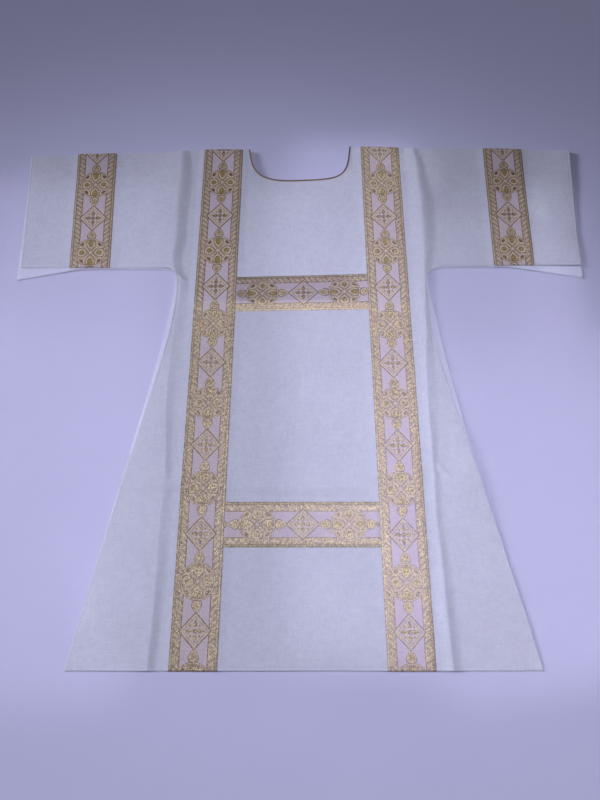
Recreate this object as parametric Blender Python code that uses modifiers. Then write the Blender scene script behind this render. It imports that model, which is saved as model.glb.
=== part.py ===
"""A dalmatic laid flat on its back: front and back panels cut in one with the sleeves, gold galloon
strips and a piped neck. Metres, +Z up, +Y towards the shoulders, origin under the middle of its box.

The cloth is drawn in garment sizes: x across from the centre line, v down from the shoulder line.
Each panel is two grids of points, an upper one from cuff to cuff and a lower one from underarm to
hem. Every strip is made from the points of the panel that it lies on, moved out by its Solidify."""

import bmesh
import bpy
import numpy as np

# Walls and layers, from the floor up
CLOTH_WALL = 0.0012
TRIM_WALL = 0.0010
GAP = 0.0003
BACK_MID = CLOTH_WALL / 2
TRIM_STEP = TRIM_WALL + GAP
PANEL_SPACING = CLOTH_WALL + TRIM_WALL + 2 * GAP
SETTLE = (0.86, 0.95)       # between these v, below the lining, the front settles onto the back
PIPING_RADIUS = 0.0011

# Middle of the garment's box, in garment sizes
CENTRE_X = -0.0025
CENTRE_V = 0.5744

# Length, neck and galloon
LENGTH = 1.155
NECK_DEPTH = 0.0895
NECK_FLARE = 0.006
GALLOON_WIDTH = 0.090
CLAVUS_INNER_TOP = 0.139
CLAVUS_INNER_HEM = 0.157
UPPER_BAND = {"top": 0.3366, "bottom": 0.4220, "top_slope": -0.028, "bottom_slope": -0.014}
LOWER_BAND = {"top": 0.8415, "bottom": 0.9305}
SOFT_FOLD = 0.0015
SOFT_FOLD_REACH = 0.030

# The shoulder and sleeve-top fold as it lies, from cuff to cuff: x, v
FOLD_LINE = [
    (-0.638, 0.0216),
    (-0.514, 0.0160),
    (-0.352, 0.0106),
    (-0.312, 0.0083),
    (-0.262, 0.0032),
    (-0.120, 0.0040),
    (0.116, -0.0045),
    (0.277, -0.0028),
    (0.427, -0.0002),
    (0.541, 0.0026),
    (0.633, 0.0052),
]

# One row a half panel: the sleeve, the underarm and the side of each layer as it lies.
# droop_from and droop say where the sleeve's lower edge starts to sink, and how far at the cuff.
HALF_COLUMNS = (
    "sign", "neck", "cuff_top", "cuff_low", "sleeve_low", "droop_from", "droop",
    "underarm_x", "underarm_radius", "side_bow", "bow_reach", "hem_half", "neck_roundness",
)
HALVES = {
    ("front", "left"): (
        -1, 0.1254, 0.638, 0.6262, 0.3176, 0.494, 0.000, 0.277,
        0.030, 0.0165, 0.17, 0.4413, 3.2,
    ),
    ("front", "right"): (
        1, 0.1160, 0.633, 0.6207, 0.3115, 0.459, 0.000, 0.271,
        0.050, 0.0170, 0.17, 0.4478, 4.0,
    ),
    ("back", "left"): (
        -1, 0.1254, 0.638, 0.6313, 0.3206, 0.494, 0.027, 0.277,
        0.030, 0.0075, 0.20, 0.4413, 3.2,
    ),
    ("back", "right"): (
        1, 0.1160, 0.633, 0.6240, 0.3145, 0.459, 0.027, 0.279,
        0.034, 0.0120, 0.35, 0.4478, 4.0,
    ),
}
SLEEVE_BANDS = {"left": (0.437, 0.427), "right": (0.4285, 0.4277)}

# Ridges of the front, one row a station. Press creases run down the panel.
# Columns: v, x of the crest, height, width on its left, width on its right, and how far the right
# slope is drawn out from a sharp crest to an S.
PRESS_CREASES = {
    "left": [
        (0.000, -0.2830, 0.0045, 0.060, 0.030, 1.0),
        (0.046, -0.2834, 0.0055, 0.070, 0.030, 1.0),
        (0.087, -0.2835, 0.0060, 0.080, 0.034, 1.0),
        (0.142, -0.2864, 0.0068, 0.080, 0.032, 1.0),
        (0.195, -0.2871, 0.0068, 0.080, 0.030, 1.0),
        (0.248, -0.2855, 0.0064, 0.080, 0.028, 1.0),
        (0.289, -0.2902, 0.0056, 0.060, 0.024, 1.0),
        (0.336, -0.2787, 0.0042, 0.030, 0.022, 1.0),
        (0.361, -0.2688, 0.0030, 0.020, 0.018, 1.0),
        (0.420, -0.2700, 0.0008, 0.030, 0.016, 0.5),
        (0.550, -0.2790, 0.0015, 0.040, 0.016, 0.3),
        (0.629, -0.2815, 0.0028, 0.050, 0.016, 0.2),
        (0.736, -0.2755, 0.0036, 0.050, 0.014, 0.2),
        (0.788, -0.2750, 0.0036, 0.050, 0.014, 0.2),
        (0.878, -0.2780, 0.0022, 0.050, 0.020, 0.2),
        (0.955, -0.2785, 0.0030, 0.060, 0.018, 0.3),
        (1.029, -0.2795, 0.0036, 0.060, 0.016, 0.3),
        (1.101, -0.2825, 0.0048, 0.060, 0.015, 0.4),
        (1.155, -0.2850, 0.0050, 0.060, 0.015, 0.4),
    ],
    "right": [
        (0.000, 0.2604, 0.0045, 0.040, 0.024, 1.0),
        (0.046, 0.2678, 0.0056, 0.045, 0.024, 1.0),
        (0.087, 0.2681, 0.0064, 0.045, 0.028, 1.0),
        (0.142, 0.2725, 0.0078, 0.048, 0.036, 1.0),
        (0.195, 0.2717, 0.0076, 0.048, 0.036, 1.0),
        (0.248, 0.2728, 0.0070, 0.048, 0.032, 1.0),
        (0.289, 0.2722, 0.0056, 0.045, 0.026, 1.0),
        (0.350, 0.2700, 0.0050, 0.040, 0.014, 0.8),
        (0.398, 0.2670, 0.0050, 0.040, 0.012, 0.6),
        (0.470, 0.2665, 0.0052, 0.036, 0.016, 0.6),
        (0.539, 0.2625, 0.0048, 0.034, 0.024, 0.4),
        (0.629, 0.2610, 0.0048, 0.030, 0.026, 0.1),
        (0.736, 0.2635, 0.0056, 0.028, 0.014, 0.5),
        (0.778, 0.2640, 0.0050, 0.028, 0.014, 0.4),
        (0.878, 0.2640, 0.0042, 0.028, 0.015, 0.2),
        (0.955, 0.2690, 0.0060, 0.028, 0.018, 0.0),
        (1.029, 0.2710, 0.0070, 0.028, 0.020, 0.0),
        (1.101, 0.2745, 0.0070, 0.030, 0.020, 0.0),
        (1.155, 0.2775, 0.0070, 0.030, 0.020, 0.0),
    ],
}

# The crease across the skirt, from side to side.
# Columns: x, v of the crest, height, width above, width below, softness below.
CROSS_CREASE = [
    (-0.430, 0.8130, 0.0012, 0.030, 0.012, 0.5),
    (-0.363, 0.8120, 0.0026, 0.034, 0.014, 0.6),
    (-0.323, 0.8120, 0.0028, 0.034, 0.014, 0.6),
    (-0.290, 0.8130, 0.0034, 0.034, 0.016, 0.5),
    (-0.267, 0.8060, 0.0040, 0.034, 0.018, 0.5),
    (-0.236, 0.8110, 0.0030, 0.034, 0.018, 0.5),
    (-0.114, 0.8110, 0.0022, 0.036, 0.018, 0.6),
    (0.006, 0.8150, 0.0022, 0.036, 0.018, 0.6),
    (0.125, 0.8090, 0.0022, 0.036, 0.018, 0.6),
    (0.225, 0.7980, 0.0020, 0.034, 0.016, 0.6),
    (0.262, 0.7620, 0.0045, 0.026, 0.014, 0.6),
    (0.278, 0.7720, 0.0050, 0.026, 0.014, 0.6),
    (0.297, 0.7960, 0.0042, 0.028, 0.013, 0.6),
    (0.315, 0.8000, 0.0036, 0.030, 0.013, 0.6),
    (0.345, 0.8060, 0.0030, 0.030, 0.013, 0.6),
    (0.375, 0.8120, 0.0024, 0.030, 0.013, 0.6),
    (0.430, 0.8150, 0.0004, 0.030, 0.013, 0.6),
]

# Soft swells of the front, mostly where an edge stands off: x, v, half width, half length, height
SWELLS = [
    (0.358, 0.7500, 0.045, 0.080, 0.0045),
    (0.283, 0.5000, 0.040, 0.120, 0.0025),
    (-0.126, 0.0500, 0.045, 0.045, 0.0040),
    (0.120, 0.0350, 0.035, 0.060, 0.0025),
    (0.632, 0.0400, 0.050, 0.110, 0.0040),
    (0.330, 0.0700, 0.050, 0.045, 0.0030),
    (0.600, 0.2900, 0.060, 0.060, 0.0030),
    (-0.610, 0.2900, 0.070, 0.060, 0.0012),
    (-0.600, 0.0600, 0.060, 0.080, 0.0025),
    (-0.310, 0.4300, 0.040, 0.130, 0.0025),
    (-0.400, 1.0000, 0.060, 0.120, 0.0020),
    (0.020, 0.6200, 0.110, 0.160, 0.0020),
    (-0.020, 0.2200, 0.090, 0.080, 0.0020),
    (0.010, 1.0500, 0.110, 0.090, 0.0020),
]

# How many grid steps each stretch takes
NECK_STEPS = 6
INNER_STEPS = 2
BAND_STEPS = 3
KNEE_STEPS = 3
SIDE_STEPS = 3
CORNER_STEPS = 4
ARM_STEPS = 4
CUFF_STEPS = 4
CLAVUS_START = NECK_STEPS + INNER_STEPS
BODY_STEPS = CLAVUS_START + BAND_STEPS + KNEE_STEPS + SIDE_STEPS
ARM_BAND_START = BODY_STEPS + CORNER_STEPS + ARM_STEPS
ROLL_ROWS = 3
ROW_STEPS = {
    "front": {"sleeve": 7, "skirt": (2, 9, 2, 5)},
    "back": {"sleeve": 5, "skirt": (1, 4, 1, 3)},
}


def steps(start, end, count):
    """The places after start, in count equal steps, as an array that ends at end."""
    return start + (end - start) * np.arange(1, count + 1) / count


def clavus_inner(v):
    return CLAVUS_INNER_TOP + (CLAVUS_INNER_HEM - CLAVUS_INNER_TOP) * v / LENGTH


def fold_v(x):
    xs, vs = np.array(FOLD_LINE).T
    return np.interp(x, xs, vs)


def ease_in(share):
    share = np.clip(share, 0, 1)
    return share * share * (3 - 2 * share)


def ridge(distance, before, after, soft):
    """A crest of height 1: a sharp curve before it, and after it that curve mixed with an S."""
    sharp = np.clip(1 - np.abs(distance) / np.where(distance < 0, before, after), 0, 1) ** 1.6
    return np.where(distance < 0, sharp, sharp + soft * (1 - ease_in(distance / after) - sharp))


def relief(x, v):
    """Height of the front over its flat level."""
    height = SOFT_FOLD * np.exp(-((v / SOFT_FOLD_REACH) ** 2))
    for stations in PRESS_CREASES.values():
        at_v, *columns = np.array(stations).T
        at_x, crest, before, after, soft = (np.interp(v, at_v, column) for column in columns)
        height = np.maximum(height, crest * ridge(x - at_x, before, after, soft))
    at_x, *columns = np.array(CROSS_CREASE).T
    at_v, crest, before, after, soft = (np.interp(x, at_x, column) for column in columns)
    height = np.maximum(height, crest * ridge(v - at_v, before, after, soft))
    for swell_x, swell_v, half_width, half_length, swell in SWELLS:
        away = ((x - swell_x) / half_width) ** 2 + ((v - swell_v) / half_length) ** 2
        height = height + swell * np.exp(-away)
    return height


def spacing(v):
    """How far the front's middle lies over the back's: less below the lining."""
    start, end = SETTLE
    return PANEL_SPACING - TRIM_STEP * ease_in((v - start) / (end - start))


def half(layer, side):
    return dict(zip(HALF_COLUMNS, HALVES[layer, side]))


def side_x(cut, v):
    """Half width of the panel below the underarm: a straight line, bowed in just below the arm."""
    start = cut["sleeve_low"] + cut["underarm_radius"]
    along = np.clip((v - start) / (LENGTH - start), 0, 1)
    bow = (v - start).clip(0) / cut["bow_reach"]
    straight = cut["underarm_x"] + (cut["hem_half"] - cut["underarm_x"]) * along
    return straight - cut["side_bow"] * bow * np.exp(1 - bow)


def body_columns(cut, v):
    """Column places across half the body at v, one row for each v: centre, clavus, crease, side."""
    inner = clavus_inner(v)
    outer = inner + GALLOON_WIDTH
    edge = side_x(cut, v)
    side = "left" if cut["sign"] < 0 else "right"
    at_v, at_x = np.array(PRESS_CREASES[side]).T[:2]
    knee = np.abs(np.interp(v, at_v, at_x))
    knee = np.clip(knee, outer + 0.15 * (edge - outer), outer + 0.75 * (edge - outer))
    columns = [0 * v]
    for start, end, count in (
        (0 * v, inner, CLAVUS_START),
        (inner, outer, BAND_STEPS),
        (outer, knee, KNEE_STEPS),
        (knee, edge, SIDE_STEPS),
    ):
        columns += [start + (end - start) * k / count for k in range(1, count + 1)]
    return np.stack(columns, axis=-1)


def neck_points(cut):
    """A superellipse from the middle of the neck's low edge, opening out a little towards the fold."""
    turn = np.pi / 2 * (1 - (1 - np.arange(NECK_STEPS + 1) / NECK_STEPS) ** 2)
    power = 2 / cut["neck_roundness"]
    down = np.cos(turn).clip(0) ** power
    down[-1] = 0
    across = (cut["neck"] - NECK_FLARE) * np.sin(turn) ** power + NECK_FLARE * (1 - down) ** 2
    down = NECK_DEPTH * down
    return across, down


def half_top(layer, side):
    """The ends of each column of half an upper grid, as arrays x_top, v_top, x_low, v_low."""
    cut = half(layer, side)
    sign = cut["sign"]
    underarm_v = cut["sleeve_low"] + cut["underarm_radius"]
    arm_top, arm_low = SLEEVE_BANDS[side]

    neck_x, neck_v = neck_points(cut)
    outer_top = CLAVUS_INNER_TOP + GALLOON_WIDTH
    body_top = np.concatenate([
        neck_x,
        steps(neck_x[-1], CLAVUS_INNER_TOP, INNER_STEPS),
        steps(CLAVUS_INNER_TOP, outer_top, BAND_STEPS),
        steps(outer_top, cut["underarm_x"] - 0.004, KNEE_STEPS + SIDE_STEPS),
    ])
    body_low = body_columns(cut, np.array([UPPER_BAND["top"]]))[0]
    past_band = np.clip((body_low - outer_top) / (cut["underarm_x"] - outer_top), 0, 1)
    band_v = UPPER_BAND["top"] + UPPER_BAND["top_slope"] * sign * body_low
    body_v = band_v + (underarm_v - band_v) * past_band**2 * (3 - 2 * past_band)

    turn = np.pi / 2 * np.arange(1, CORNER_STEPS + 1) / CORNER_STEPS
    corner_low = cut["underarm_x"] + cut["underarm_radius"] * (1 - np.cos(turn))
    corner_v = underarm_v - cut["underarm_radius"] * np.sin(turn)
    corner_top = steps(body_top[-1], corner_low[-1], CORNER_STEPS)

    sleeve_top = np.concatenate([
        steps(corner_top[-1], arm_top, ARM_STEPS),
        steps(arm_top, arm_top + GALLOON_WIDTH, BAND_STEPS),
        steps(arm_top + GALLOON_WIDTH, cut["cuff_top"], CUFF_STEPS),
    ])
    sleeve_low = np.concatenate([
        steps(corner_low[-1], arm_low, ARM_STEPS),
        steps(arm_low, arm_low + GALLOON_WIDTH, BAND_STEPS),
        steps(arm_low + GALLOON_WIDTH, cut["cuff_low"], CUFF_STEPS),
    ])
    sinking = np.clip((sleeve_low - cut["droop_from"]) / (cut["cuff_low"] - cut["droop_from"]), 0, 1)
    sleeve_v = cut["sleeve_low"] + cut["droop"] * sinking

    x_top = sign * np.concatenate([body_top, corner_top, sleeve_top])
    v_top = fold_v(x_top)
    v_top[: NECK_STEPS + 1] += neck_v
    x_low = sign * np.concatenate([body_low, corner_low, sleeve_low])
    v_low = np.concatenate([body_v, corner_v, sleeve_v])
    return x_top, v_top, x_low, v_low


def column_marks():
    """For each column of a half: 1 where a strip lies under the cloth, and how round the fold is."""
    column = np.arange(ARM_BAND_START + BAND_STEPS + CUFF_STEPS + 1)
    clavus = (column >= CLAVUS_START) & (column <= CLAVUS_START + BAND_STEPS)
    sleeve_band = (column >= ARM_BAND_START) & (column <= ARM_BAND_START + BAND_STEPS)
    return (clavus | sleeve_band).astype(float), ((column - NECK_STEPS) / INNER_STEPS).clip(0, 1)


def mirror_join(left, right):
    """Half arrays from the centre out, as one array from the left end to the right end."""
    return np.concatenate([left[..., :0:-1], right], axis=-1)


def panel(layer):
    """The panel's two grids of points, upper and lower, each with a row for each row of cloth."""
    ends = [mirror_join(*pair) for pair in zip(half_top(layer, "left"), half_top(layer, "right"))]
    x_top, v_top, x_low, v_low = ends
    raised, rolled = (mirror_join(mark, mark) for mark in column_marks())
    facing = 1 if layer == "front" else -1

    def height(x, v, lifted):
        back = BACK_MID + TRIM_STEP * lifted
        return back + spacing(v) + relief(x, v) if layer == "front" else back + 0 * v

    # Round the fold: the panel's edge stands upright at the seam, then turns a quarter circle.
    back_z = BACK_MID + TRIM_STEP * raised
    front_z = back_z + PANEL_SPACING + relief(x_top, v_top)
    seam_z = (front_z + back_z) / 2 + facing * GAP / 2
    upright = TRIM_STEP / 4
    own_z = front_z if layer == "front" else back_z
    radius = np.abs(own_z - seam_z) - upright
    turn = np.pi / 4 * np.array([0, 0, 1, 2])[:, None]
    lean = radius * (1 - np.cos(turn))
    round_z = seam_z + facing * (upright * np.array([0, 1, 1, 1])[:, None] + radius * np.sin(turn))
    flat_v = TRIM_STEP / 3 * np.arange(ROLL_ROWS + 1)[:, None]
    roll_v = v_top + flat_v + (lean - flat_v) * rolled
    roll_x = x_top + 0 * roll_v
    flat_z = height(roll_x, roll_v, raised)
    roll_z = flat_z + (round_z - flat_z) * rolled

    share = steps(0, 1, ROW_STEPS[layer]["sleeve"])[:, None]
    arm_x = x_top + (x_low - x_top) * share
    arm_v = roll_v[-1] + (v_low - roll_v[-1]) * share
    upper = np.stack([
        np.concatenate([roll_x, arm_x]),
        np.concatenate([roll_v, arm_v]),
        np.concatenate([roll_z, height(arm_x, arm_v, raised)]),
    ], axis=-1)

    centre = x_low.size // 2
    body = slice(centre - BODY_STEPS, centre + BODY_STEPS + 1)
    first_v = v_low[body]
    first_x = x_low[body]
    row_v = [first_v]
    band_end = UPPER_BAND["bottom"] + UPPER_BAND["bottom_slope"] * np.clip(first_x, -0.2, 0.2)
    key_rows = (band_end, LOWER_BAND["top"], LOWER_BAND["bottom"], LENGTH)
    for key, count in zip(key_rows, ROW_STEPS[layer]["skirt"]):
        start = row_v[-1]
        row_v += [start + (key - start) * k / count for k in range(1, count + 1)]
    skirt_v = np.stack(row_v)
    mean_v = skirt_v.mean(axis=1)
    mean_v[0] = UPPER_BAND["top"]
    skirt_x = mirror_join(
        -body_columns(half(layer, "left"), mean_v), body_columns(half(layer, "right"), mean_v)
    )
    skirt_x[0] = first_x
    lower = np.stack([skirt_x, skirt_v, height(skirt_x, skirt_v, raised[body])], axis=-1)
    return {"upper": upper, "lower": lower, "body": body, "centre": centre}


def placed(points):
    """Garment sizes x, v, z to world places."""
    x, v, z = np.moveaxis(points, -1, 0)
    return np.stack([x - CENTRE_X, CENTRE_V - v, z], axis=-1)


def material(name, colour, roughness, metallic=0.0):
    finish = bpy.data.materials.new(name)
    finish.use_nodes = True
    shader = finish.node_tree.nodes["Principled BSDF"]
    shader.inputs["Base Color"].default_value = (*colour, 1)
    shader.inputs["Roughness"].default_value = roughness
    shader.inputs["Metallic"].default_value = metallic
    finish.diffuse_color = (*colour, 1)
    return finish


def add_grid(mesh, points):
    """A sheet of faces through the grid's points. Rows that run down the cloth face it upwards."""
    rows, columns = points.shape[:2]
    made = bmesh.ops.create_grid(mesh, x_segments=columns - 1, y_segments=rows - 1, size=1)
    for vert, place in zip(made["verts"], placed(points).reshape(-1, 3)):
        vert.co = place
    faces = {face for vert in made["verts"] for face in vert.link_faces}
    bmesh.ops.reverse_faces(mesh, faces=list(faces))


def cloth_piece(name, grids, finish, wall, lift=0.0):
    """A sheet welded from its grids, given its wall by Solidify. lift moves the wall's middle out."""
    mesh = bmesh.new()
    for points in grids:
        add_grid(mesh, points)
    bmesh.ops.remove_doubles(mesh, verts=mesh.verts, dist=0.00002)
    data = bpy.data.meshes.new(name)
    mesh.to_mesh(data)
    mesh.free()
    data.materials.append(finish)
    data.shade_smooth()
    piece = bpy.data.objects.new(name, data)
    solid = piece.modifiers.new("wall", "SOLIDIFY")
    solid.thickness = wall
    solid.offset = 2 * lift / wall
    solid.use_even_offset = True
    return piece


def strip_round_fold(front, back, columns, name, finish, skirt):
    """One galloon strip: up the back, over the fold and down the front, made from the panels' points."""
    below, above = back["upper"][:, columns], front["upper"][:, columns]
    rows = [below[::-1], above]
    if skirt:
        lower = slice(columns.start - back["body"].start, columns.stop - back["body"].start)
        rows = [back["lower"][:0:-1, lower], *rows, front["lower"][1:, lower]]
    lift = CLOTH_WALL / 2 + GAP + TRIM_WALL / 2
    return cloth_piece(name, [np.concatenate(rows)], finish, TRIM_WALL, lift)


def cross_band(front, name, finish, first_row, last_row):
    """A strip across the front between the clavi, a gap short of each."""
    columns = slice(BODY_STEPS - CLAVUS_START, BODY_STEPS + CLAVUS_START + 1)
    points = front["lower"][first_row : last_row + 1, columns].copy()
    points[:, 0, 0] += GAP
    points[:, -1, 0] -= GAP
    lift = CLOTH_WALL / 2 + GAP + TRIM_WALL / 2
    return cloth_piece(name, [points], finish, TRIM_WALL, lift)


def lining(back, side, name, finish, last_row):
    """Lining on the back's inner face: a strip along the sleeve's edge, and one down the side."""
    upper, lower = back["upper"], back["lower"]
    if side == "left":
        sleeve = upper[-2:, : back["centre"] - BODY_STEPS + 2]
        flank = lower[: last_row + 1, :2]
    else:
        sleeve = upper[-2:, back["centre"] + BODY_STEPS - 1 :]
        flank = lower[: last_row + 1, -2:]
    lift = CLOTH_WALL / 2 + GAP + TRIM_WALL / 2
    return cloth_piece(name, [sleeve, flank], finish, TRIM_WALL, lift)


def neck_piping(edge, name, finish):
    """A round cord along the neck's edge, just inside the opening and level with its top."""
    path = placed(edge)
    path[:, 2] += PIPING_RADIUS - CLOTH_WALL / 2
    along = np.gradient(path, axis=0)[:, :2]
    along /= np.linalg.norm(along, axis=1)[:, None]
    inward = np.stack([-along[:, 1], along[:, 0]], axis=1)
    path[:, :2] += inward * (PIPING_RADIUS + GAP)
    data = bpy.data.curves.new(name, "CURVE")
    data.dimensions = "3D"
    data.bevel_depth = PIPING_RADIUS
    data.bevel_resolution = 2
    data.use_fill_caps = True
    spline = data.splines.new("POLY")
    spline.points.add(len(path) - 1)
    for point, place in zip(spline.points, path):
        point.co = (*place, 1)
    data.materials.append(finish)
    return bpy.data.objects.new(name, data)


def clear_scene():
    for obj in list(bpy.data.objects):
        bpy.data.objects.remove(obj, do_unlink=True)


def main():
    clear_scene()
    ivory = material("ivory_cloth", (0.78, 0.79, 0.80), 0.75)
    white = material("white_lining", (0.84, 0.85, 0.90), 0.45)
    gold = material("gold_galloon", (0.52, 0.42, 0.24), 0.50, 0.35)
    cord = material("gold_piping", (0.60, 0.45, 0.18), 0.45, 0.50)

    front, back = panel("front"), panel("back")
    centre = front["centre"]
    pieces = [
        cloth_piece("front", [front["upper"], front["lower"]], ivory, CLOTH_WALL),
        cloth_piece("back", [back["upper"], back["lower"]], ivory, CLOTH_WALL),
    ]
    for start, what, skirt in ((CLAVUS_START, "clavus", True), (ARM_BAND_START, "sleeve_band", False)):
        left = slice(centre - start - BAND_STEPS, centre - start + 1)
        right = slice(centre + start, centre + start + BAND_STEPS + 1)
        for side, columns in (("left", left), ("right", right)):
            pieces.append(strip_round_fold(front, back, columns, f"{what}_{side}", gold, skirt))

    first, middle, last, _ = ROW_STEPS["front"]["skirt"]
    pieces.append(cross_band(front, "cross_band_upper", gold, 0, first))
    pieces.append(cross_band(front, "cross_band_lower", gold, first + middle, first + middle + last))
    pieces.append(lining(back, "left", "lining_left", white, 4))
    pieces.append(lining(back, "right", "lining_right", white, 5))

    neck = slice(centre - NECK_STEPS, centre + NECK_STEPS + 1)
    pieces.append(neck_piping(front["upper"][0, neck], "neck_piping_front", cord))
    pieces.append(neck_piping(back["upper"][0, neck], "neck_piping_back", cord))

    dalmatic = bpy.data.collections.new("dalmatic")
    bpy.context.scene.collection.children.link(dalmatic)
    for piece in pieces:
        dalmatic.objects.link(piece)


main()
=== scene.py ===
import math
import bpy
import numpy as np
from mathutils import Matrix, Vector


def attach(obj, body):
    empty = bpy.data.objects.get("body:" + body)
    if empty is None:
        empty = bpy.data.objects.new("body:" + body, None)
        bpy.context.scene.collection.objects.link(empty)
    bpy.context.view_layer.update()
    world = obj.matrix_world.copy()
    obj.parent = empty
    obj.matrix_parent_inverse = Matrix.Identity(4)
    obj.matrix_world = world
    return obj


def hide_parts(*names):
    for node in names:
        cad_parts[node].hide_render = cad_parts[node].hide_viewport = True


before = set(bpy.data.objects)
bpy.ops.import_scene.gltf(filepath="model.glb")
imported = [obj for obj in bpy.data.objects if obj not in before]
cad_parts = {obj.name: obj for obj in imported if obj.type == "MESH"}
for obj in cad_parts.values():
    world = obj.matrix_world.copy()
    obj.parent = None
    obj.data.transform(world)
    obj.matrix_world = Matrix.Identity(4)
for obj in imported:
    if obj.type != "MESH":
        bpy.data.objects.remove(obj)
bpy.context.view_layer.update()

# The camera, above the skirt and looking towards the shoulders. The tilt is in degrees away from
# straight down
view = {
    "place": (-0.0018, -0.5235, 1.382), "tilt": 18.83, "lens": 31.47, "sensor": 36,
}


def addCamera():
    data = bpy.data.cameras.new("view")
    data.lens, data.sensor_width = view["lens"], view["sensor"]
    data.clip_start, data.clip_end = 0.05, 60
    camera = bpy.data.objects.new("view", data)
    camera.location = view["place"]
    camera.rotation_euler = (math.radians(view["tilt"]), 0, 0)
    bpy.context.collection.objects.link(camera)
    bpy.context.scene.camera = camera


# A soft spot gives the pool of light, a low sun from the left draws the creases, and narrow strips
# overhead give the upright bands of light
lampTint = "#D9DBFF"
spot = {
    "place": (0.148, 0.176, 2.80), "target": (-0.161, -0.831, 0), "watts": 162,
    "radius": 0.40, "cone": 1.254, "blend": 0.80,
}
sun = {"place": (-2.60, 0.45, 0.98), "target": (0, 0, 0), "strength": 1.60, "angle": 14}
stripHeight, stripSpread = 1.90, 5                # metres, degrees
# Each strip faces straight down. Columns: x, y, width, length, watts
strips = [
    (-0.560, -0.07, 0.48, 1.12, 0.204), (-0.390, -0.20, 0.12, 0.52, 0.030),
    (-0.650, -0.17, 0.12, 0.60, 0.030), (0.125, 0.02, 0.29, 1.16, 0.201),
    (0.375, -0.29, 0.21, 0.66, 0.076), (0.375, 0.22, 0.21, 0.34, 0.017),
    (0.545, -0.07, 0.13, 1.06, 0.079), (0.640, -0.26, 0.12, 0.68, 0.038),
    (-0.050, 0.32, 0.08, 0.28, 0.0105), (0.235, -0.20, 0.09, 0.46, 0.008),
]
ambient = {"colour": "#D9DBFF", "strength": 0.065}
floor = {
    "half": 7.0, "drop": 0.0006, "colour": "#E9E7F5", "shade": "#E3E1F0", "roughness": 0.72, "clouds": 5.0,
}


def linear(hexValue):
    # sRGB hex to linear: the curve's power part above 0.04045, a straight line below it
    value = np.array([int(hexValue[k:k + 2], 16) for k in (1, 3, 5)]) / 255
    return np.where(value > 0.04045, ((value + 0.055) / 1.055) ** 2.4, value / 12.92)


def colour(hexValue, alpha=1.0):
    return (*linear(hexValue).tolist(), alpha)


def addLamp(kind, place, target, energy, **settings):
    data = bpy.data.lights.new(kind.lower(), kind)
    data.energy, data.color = energy, linear(lampTint)
    for key, value in settings.items():
        setattr(data, key, value)
    lamp = bpy.data.objects.new(kind.lower(), data)
    lamp.location = place
    lamp.rotation_euler = (Vector(target) - Vector(place)).to_track_quat("-Z", "Y").to_euler()
    bpy.context.collection.objects.link(lamp)


def addLight():
    addLamp(
        "SPOT", spot["place"], spot["target"], spot["watts"], shadow_soft_size=spot["radius"],
        spot_size=spot["cone"], spot_blend=spot["blend"],
    )
    addLamp("SUN", sun["place"], sun["target"], sun["strength"], angle=math.radians(sun["angle"]))
    for x, y, width, length, watts in strips:
        addLamp(
            "AREA", (x, y, stripHeight), (x, y, 0), watts, shape="RECTANGLE",
            spread=math.radians(stripSpread), size=width, size_y=length,
        )
    world = bpy.data.worlds.new("studio")
    world.use_nodes = True
    sky = world.node_tree.nodes["Background"]
    sky.inputs["Color"].default_value = colour(ambient["colour"])
    sky.inputs["Strength"].default_value = ambient["strength"]
    bpy.context.scene.world = world
    bpy.context.scene.view_settings.view_transform = "Standard"


def addNode(tree, kind, inputs=None, **settings):
    # one node: its settings, then for each input either a link from a socket or a plain value
    node = tree.nodes.new(kind)
    for key, value in settings.items():
        setattr(node, key, value)
    for key, value in (inputs or {}).items():
        if isinstance(value, bpy.types.NodeSocket):
            tree.links.new(value, node.inputs[key])
        else:
            node.inputs[key].default_value = value
    return node


def addSums(tree, known, rows):
    # rows of (name, operation, values...): each value is a number or the name of an earlier row
    for name, operation, *values in rows:
        inputs = {k: known.get(value, value) for k, value in enumerate(values)}
        known[name] = addNode(tree, "ShaderNodeMath", inputs, operation=operation).outputs[0]
    return known


def newMaterial(name, **values):
    # a Principled shader with the values that are the same all over set on its own sockets
    finish = bpy.data.materials.new(name)
    finish.use_nodes = True
    shader = finish.node_tree.nodes["Principled BSDF"]
    for key, value in values.items():
        shader.inputs[key.replace("_", " ")].default_value = value
    return finish, finish.node_tree, shader


def setRamp(node, stops, interpolation="CONSTANT"):
    # stops of (place, hex colour, alpha)
    ramp = node.color_ramp
    ramp.interpolation = interpolation
    while len(ramp.elements) < len(stops):
        ramp.elements.new(1)
    for element, (place, hexValue, alpha) in zip(ramp.elements, stops):
        element.position, element.color = place, colour(hexValue, alpha)


# Ivory cloth: wool and polyester in a plain weave, pressed. Matt, with a faint bloom at grazing angles.
ivory = {
    "light": "#F6F6F3", "dark": "#D6D7D6", "roughness": 0.80, "sheen": 0.25, "sheenSpread": 0.45,
    "slubLength": 0.012, "threadSpacing": 0.0021,     # real threads are 0.5 mm apart, drawn coarser to show
    "threadDepth": 0.00014, "mottle": 0.016, "mottleDepth": 0.00010, "clouds": 9.0,
    # how much of the way from dark to light the threads, clouds and mottle make up, and where it starts
    "threadShare": 0.56, "cloudShare": 0.35, "mottleShare": 0.42, "start": -0.445,
}


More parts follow.
